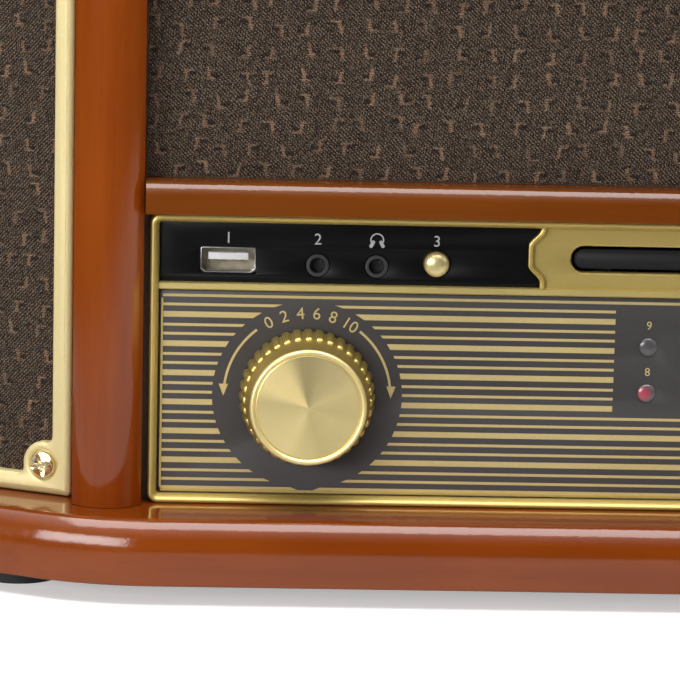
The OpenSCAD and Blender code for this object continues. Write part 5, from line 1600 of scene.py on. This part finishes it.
def grid_of(shape: Shape, across: int, up: int, width: float, height: float, name: str,
            finish: Finish) -> Mesh:
    """Copies a shape to the points of a flat grid round the origin.

    Args:
        shape: One copy.
        across, up: Number of points along X and Y.
        width, height: The grid's size.
        name: Name of the tree.
        finish: The copies' finish.

    Returns:
        The plain mesh of all the copies.
    """
    def points(tree: NodeTree, start: Node) -> Socket:
        """The grid's corners."""
        grid = tree.nodes.new("GeometryNodeMeshGrid")
        for i, key in enumerate(("Width", "Height", "Across", "Up")):
            tree.links.new(start.outputs[key], grid.inputs[i])
        return grid.outputs[0]
    return repeat(shape, name, finish, points, lambda tree, start: None, {
        "Width": ("NodeSocketFloat", width * MM), "Height": ("NodeSocketFloat", height * MM),
        "Across": ("NodeSocketInt", across), "Up": ("NodeSocketInt", up)})


def screw_head(r: float, high: float) -> Shape:
    """A small round screw head with a cross slot, standing up along Z from the origin.

    Args:
        r: Its radius.
        high: Its height.

    Returns:
        The shape.
    """
    n = 24
    prof = [(r, -0.3), (r, high * 0.35), (r * 0.92, high * 0.72), (r * 0.72, high * 0.94), (r * 0.56, high)]
    rings = [raised(circle((0.0, 0.0), k, n), z) for k, z in prof]
    rings += [raised(star(k * r, n, 0.3, 4), z) for k, z in ((0.5, high), (0.3, high * 0.3))]
    return Shape().skin(rings, ends=True)


# ---------------------------------------------------------------- tuning dial
@dataclass
class TuningDial:
    """Dark face with ticks and plain numerals behind the pointer."""

    face_r: float = 31.3
    face_y: float = -146.45
    tick_r: float = 28.2
    tick_half: Point3 = (1.1, 0.05, 0.14)
    ticks: int = 61
    first: float = 150.0
    sweep: float = 240.0
    numeral_r: float = 23.4
    rings: Point2 = (19.6, 30.2)

    def build(self) -> None:
        """Makes the face and its print."""
        y, z = self.face_y, LAY.dial_z
        face = [(1.8, y + 0.2), (1.8, y), (self.face_r, y), (self.face_r, y + 0.2)]
        dress("dial_face", Shape().lathe(face, shifted(front, 0.0, z), 96), CHARCOAL)
        middle, half = Vector((self.tick_r, y, 0.0)), Vector(self.tick_half)
        tick = Shape().block(tuple(middle - half), tuple(middle + half))
        mesh = ring_of(tick, self.ticks, "dial_ticks", PRINT_GOLD, "Y", self.sweep)
        mesh.transform(Matrix.Translation(Vector((0, 0, z)) * MM)
                       @ Matrix.Rotation(math.radians(self.first), 4, "Y"))
        dress_mesh("dial_ticks", mesh, PRINT_GOLD, smooth=20)
        ink = Shape()
        for i in range(7):
            turn = self.sweep / 6 * (i - 3)
            numerals(ink, str(88 + 3 * i + i // 2), 2.9, y,
                     (self.numeral_r * sind(turn), z + self.numeral_r * cosd(turn)), turn)
        for r in self.rings:
            ink.plate(circle((0.0, z), r, 96), [circle((0.0, z), r - 0.35, 96)], y - PRINT_T, y + 0.02)
        dress("dial_print", ink, PRINT_GOLD, smooth=20)


# ---------------------------------------------------------------- record player
@dataclass
class Player:
    """Arm, counterweight, platter's dots and deck screws."""

    pivot: Point2 = (117.957, 74.993)
    arm_z: float = 206.0
    arm_l: float = 208.0
    deck_top: float = 182.0
    platter_r: float = 98.0
    platter_z: Point2 = (184.5, 195.0)
    weight_r: float = 9.0
    weight_bore: float = 3.25

    def build(self) -> None:
        """Makes each piece."""
        self.arm()
        self.weight()
        self.strobe_dots()
        mesh = grid_of(screw_head(2.6, 1.1), 2, 2, 400.0, 230.0, "deck_screws", STEEL)
        mesh.transform(Matrix.Translation(Vector((0, 5.0, self.deck_top)) * MM))
        dress_mesh("deck_screws", mesh, STEEL)

    def arm(self) -> None:
        """The tonearm: pivot block, tube, headshell with its finger lift, and cartridge."""
        (x, y), z, end = self.pivot, self.arm_z, -self.arm_l
        place, tip = shifted(front, x, z, y), y + end

        def pad(x0: float, y0: float, x1: float, y1: float, r: float, n: int) -> list[Point2]:
            """A rounded outline seen from above, measured from the stylus."""
            return rounded(x + x0, tip + y0, x + x1, tip + y1, r, n)
        tube = Shape()
        tube.lathe([(0.0, end + 20), (2.2, end + 20), (2.6, end + 21), (2.6, end + 33), (3.0, end + 34),
                    (3.0, -22.0), (3.0, -6.0), (0.0, -6.0)], place, 40)
        tube.lathe([(0.0, 6.0), (3.0, 6.0), (3.0, 35.4), (2.5, 36.0), (0.0, 36.0)], place, 40)
        tube.block((x - 7.9, y - 6.9, z - 4.9), (x + 7.9, y + 6.9, z + 4.9), 1.4)
        tube.plate(pad(-6.8, -5.8, 6.8, 19.8, 2.2, 5), [], z - 1.4, z + 0.9, level, 0.3, 2, 0.5)
        tube.plate(pad(6.0, -3.0, 6.95, 7.0, 0.4, 3), [], z - 0.6, z + 0.85, level, 0.2, 2, 0.2)
        dress("tonearm_tube", tube, ALUMINIUM, "arm", 35, ["tonearm"])
        cart = pad(-4.9, -3.9, 4.9, 15.9, 1.0, 4)
        dress("cartridge", Shape().plate(cart, [], z - 4.9, z - 1.35, level, 0.6, 3), DARK, "arm", 35)
        needle = Shape().lathe([(0.0, z - 6.8), (0.3, z - 6.8), (1.0, z - 4.8), (0.0, z - 4.8)],
                               lambda u, d, v: (x + u, tip + v, d), 20)
        dress("stylus_tip", needle, RED, "arm", 35)

    def weight(self) -> None:
        """The counterweight with the groove round it."""
        lo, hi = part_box("counterweight")
        y0, y1, r, bore = lo[1] / MM, hi[1] / MM, self.weight_r, self.weight_bore
        prof = [(bore, y0), (r - 0.8, y0), (r, y0 + 0.8), (r, y0 + 4.0), (r - 0.5, y0 + 4.3),
                (r - 0.5, y0 + 5.0), (r, y0 + 5.3), (r, y1 - 0.8), (r - 0.8, y1), (bore, y1), (bore, y0)]
        dress("counterweight_body", Shape().lathe(prof, shifted(front, self.pivot[0], self.arm_z), 64), STEEL,
              "arm", 35, ["counterweight"])

    def strobe_dots(self) -> None:
        """Raised dots round the platter's edge."""
        z = sum(self.platter_z) / 2
        dot = Shape().plate(rounded(-0.9, -0.9, 0.9, 0.9, 0.5, 2), [], -self.platter_r - 0.35,
                            -self.platter_r + 0.2, lambda u, d, v: (-d, u, z + v), 0.2, 1)
        mesh = ring_of(dot, 120, "strobe_dots", STEEL, "Z")
        mesh.transform(Matrix.Translation(Vector((*LAY.spindle, 0)) * MM))
        dress_mesh("platter_strobe_dots", mesh, STEEL, "platter")


# ---------------------------------------------------------------- back and side
@dataclass
class BackAndSide:
    """Screws of the back panel and hinges, collars of the rear sockets, and the cassette slot's bezel."""

    rca_x: Point2 = (113.0, 127.0)
    rca_z: float = 81.0
    collar_r: float = 3.3
    hinge_x: float = 150.0
    hinge_back: Point2 = (160.0, 161.0)
    tape_y: Point2 = (-46.0, 60.0)
    tape_z: Point2 = (59.5, 76.5)
    eject: Point2 = (72.6, 68.0)
    eject_r: float = 4.6

    def build(self) -> None:
        """Makes each piece."""
        self.panel_screws()
        self.sockets()
        self.cassette()

    def panel_screws(self) -> None:
        """The back panel's screws and the hinges' screws."""
        def fasten(mesh: Mesh, at: Point3, name: str, finish: Finish, body: str) -> None:
            """Turns a grid of screws to the back, moves it to its place and dresses it."""
            mesh.transform(Matrix.Translation(Vector(at) * MM) @ Matrix.Rotation(math.radians(-90), 4, "X"))
            dress_mesh(name, mesh, finish, body)
        fasten(grid_of(screw_head(3.0, 1.2), 5, 2, 466.0, 141.0, "back_screws", PLAIN_STEEL),
               (0, LAY.cab_back, 99.5), "back_panel_screws", PLAIN_STEEL, "root")
        (low, _), (_, high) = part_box("hinge_leaves_fixed"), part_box("hinge_leaves_moving")
        for body, name, z, y in (("root", "fixed", low[2] / MM + 4.5, self.hinge_back[0]),
                                 ("lid", "moving", high[2] / MM - 4.5, self.hinge_back[1])):
            for side, hand in ((-1, "left"), (1, "right")):
                fasten(grid_of(screw_head(1.9, 0.5), 3, 1, 28.0, 0.0, "hinge_screws", BRASS),
                       (side * self.hinge_x, y + 1.2, z), f"hinge_screws_{name}_{hand}", BRASS, body)

    def sockets(self) -> None:
        """Coloured collars in the two output sockets, as plain rings."""
        y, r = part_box("rca_sockets")[1][1] / MM, self.collar_r
        prof = [(1.7, y - 3), (1.7, y + 0.15), (r, y + 0.15), (r + 0.3, y - 0.1), (r + 0.3, y - 3)]
        for x, finish, name in zip(self.rca_x, (WHITE, RED), ("white", "red")):
            dress("output_collar_" + name, Shape().lathe(prof, shifted(front, x, self.rca_z), 40), finish)

    def cassette(self) -> None:
        """The cassette slot's bezel with rounded edges, and the eject button's cap."""
        lo, hi = ([v / MM for v in corner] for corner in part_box("cassette_bezel"))
        (ya, yb), (za, zb) = self.tape_y, self.tape_z
        holes = [rounded(ya, za, yb, zb, 0.8, 3), circle(self.eject, self.eject_r + 0.2, 40)]
        shape = Shape().plate(rounded(*lo[1:], *hi[1:], 3.0, 6), holes, 0.0, hi[0] - lo[0],
                              lambda u, d, v: (hi[0] - d, u, v), 0.8, 4)
        dress("cassette_bezel_frame", shape, BLACK_MATT, smooth=35, replaces=["cassette_bezel"])
        tip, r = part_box("cassette_button")[1][0] / MM + 0.06, self.eject_r - 0.1
        cap = [(0.0, tip), (r * 0.7, tip - 0.05), (r * 0.92, tip - 0.3), (r + 0.05, tip - 1.0),
               (r + 0.05, tip - 3.0)]
        dress("eject_cap", Shape().lathe(cap, lambda u, d, v: (d, self.eject[0] + u, self.eject[1] + v), 40),
              ALUMINIUM, "cassette_button", 35)


# ---------------------------------------------------------------- the rest of the CAD nodes
@dataclass
class OtherParts:
    """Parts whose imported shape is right, and which only need their finish."""

    finishes: dict[Finish, str] = field(default_factory=lambda: {
        RUBBER: "rubber_feet drive_belt",
        WOOD_Y: "side_panel_left side_panel_right",
        BOARD: "back_panel front_baffle wing_baffles",
        PLAIN_STEEL: "control_pots cd_mechanism platter_motor transformer cassette_mechanism",
        GILT_PALE: "tuning_dial",
        RED: "dial_pointer",
        DARK: "cd_tray cd_hub tonearm_base lift_platform speakers cassette_flap",
        BLACK_MATT: "turntable_deck mains_inlet",
        PLATTER: "platter",
        MAT: "slip_mat",
        STEEL: "platter_spindle",
        BRASS: "motor_pulley hinge_leaves_fixed hinge_leaves_moving rca_sockets",
        ALUMINIUM: "tonearm_gimbal cue_lever speed_selector cassette_button",
        BOARD_GREEN: "main_board"})

    def build(self) -> None:
        """Gives each node its finish."""
        for finish, nodes in self.finishes.items():
            for node in nodes.split():
                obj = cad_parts[node]
                obj.data.materials.clear()
                obj.data.materials.append(paint(finish))


# ---------------------------------------------------------------- camera, floor and light
class Lamp(NamedTuple):
    """One soft rectangular lamp, and whether matt surfaces and reflections get its light."""

    name: str
    at: Point3
    size: Point2
    power: float
    aim: Point3
    lit: bool = True
    seen: bool = True

    def build(self) -> None:
        """Makes the lamp and points it at its aim."""
        lamp = bpy.data.lights.new(self.name, "AREA")
        lamp.shape = "RECTANGLE"
        lamp.size, lamp.size_y = self.size
        lamp.energy = self.power
        obj = bpy.data.objects.new(self.name, lamp)
        obj.visible_diffuse, obj.visible_glossy = self.lit, self.seen
        obj.location = self.at
        obj.rotation_euler = (Vector(self.aim) - Vector(self.at)).to_track_quat("-Z", "Y").to_euler()
        bpy.context.scene.collection.objects.link(obj)


FRONT_LEFT, AT_WING, AT_CENTRE = (-1.06, -1.46, 0.4), (-0.1, -0.15, 0.08), (0.0, -0.1, 0.1)
LAMPS = (Lamp("front_left_softbox", FRONT_LEFT, (1.2, 0.5), 16.0, AT_WING),
         Lamp("front_left_core", FRONT_LEFT, (0.8, 0.22), 20.0, AT_WING, lit=False),
         Lamp("overhead_softbox", (-0.1, -0.78, 1.75), (1.7, 0.9), 33.0, AT_CENTRE, seen=False),
         Lamp("overhead_sheen", (-0.1, -0.62, 1.75), (2.0, 1.6), 62.0, AT_CENTRE, lit=False),
         Lamp("right_fill", (1.6, -1.2, 0.9), (0.8, 0.8), 3.0, AT_CENTRE))


@dataclass
class Studio:
    """Camera at the photograph's place, pale floor and soft lamps."""

    focal_px: float = 3000.0
    photo_px: float = 680.0
    yaw: float = 1.99
    pitch: float = 9.25
    roll: float = 1.35
    eye: Point3 = (-150.5, -877.5, 181.1)
    floor_size: float = 12.0
    ambient: float = 0.26
    gloss_front: float = 0.02
    gloss_back: float = 0.75
    zenith: float = 2.0

    def camera(self) -> None:
        """Makes the camera and sets it as the scene's."""
        y, p, r = self.yaw, self.pitch, self.roll
        forward = Vector((sind(y) * cosd(p), cosd(y) * cosd(p), -sind(p)))
        right = Vector((cosd(y), -sind(y), 0.0))
        down = forward.cross(right)
        cam = bpy.data.cameras.new("camera")
        cam.sensor_width = 36.0
        cam.lens = self.focal_px / self.photo_px * cam.sensor_width
        cam.clip_start, cam.clip_end = 0.01, 20.0
        obj = bpy.data.objects.new("camera", cam)
        rolled = right * cosd(r) - down * sind(r), -right * sind(r) - down * cosd(r)
        turn = Matrix((*rolled, -forward)).transposed()
        obj.matrix_world = Matrix.Translation(Vector(self.eye) * MM) @ turn.to_4x4()
        bpy.context.scene.collection.objects.link(obj)
        bpy.context.scene.camera = obj

    def floor(self) -> None:
        """A wide floor under the object."""
        bpy.ops.mesh.primitive_plane_add(size=self.floor_size)
        obj = bpy.context.object
        obj.name = "floor"
        obj.data.materials.append(paint(FLOOR))

    def world(self) -> None:
        """A world that is white to the camera, bright behind and above the object and dim in front."""
        world = bpy.data.worlds.new("studio")
        bpy.context.scene.world = world
        world.use_nodes = True
        g = Graph(world.node_tree)
        ray = g.node("ShaderNodeLightPath").outputs
        _, y, z = g.parts(g.node("ShaderNodeTexCoord").outputs["Generated"])
        mirror = g.add(self.gloss_front, g.mul(g.span(y, -0.2, 0.35), self.gloss_back))
        mirror = g.add(mirror, g.mul(g.span(z, 0.3, 1.0), self.zenith))
        shiny = g.math("ADD", ray["Is Glossy Ray"], ray["Is Transmission Ray"], clamp=True)
        other = g.add(g.mul(shiny, mirror), g.mul(g.sub(1.0, shiny), self.ambient))
        unseen = g.mul(g.sub(1.0, ray["Is Camera Ray"]), other)
        g.put(world.node_tree.nodes["Background"], {"Color": (1.0, 1.0, 1.0),
                                                    "Strength": g.add(ray["Is Camera Ray"], unseen)})

    def build(self) -> None:
        """Sets up the whole studio."""
        self.camera()
        self.floor()
        self.world()
        for lamp in LAMPS:
            lamp.build()
        bpy.context.scene.view_settings.view_transform = "Standard"


def main() -> None:
    """Builds every sub-assembly in order."""
    logging.basicConfig(level=logging.INFO, format="%(name)s: %(message)s")
    for part in (Studio(), Cabinet(), Wings(), ControlPanel(), Fittings(),
                 Knob(-LAY.knob_x, "volume_knob", "volume"), Knob(LAY.knob_x, "tuning_knob", "tuning"),
                 TuningDial(), Player(), BackAndSide(), OtherParts()):
        part.build()


if __name__ == "__main__":
    main()
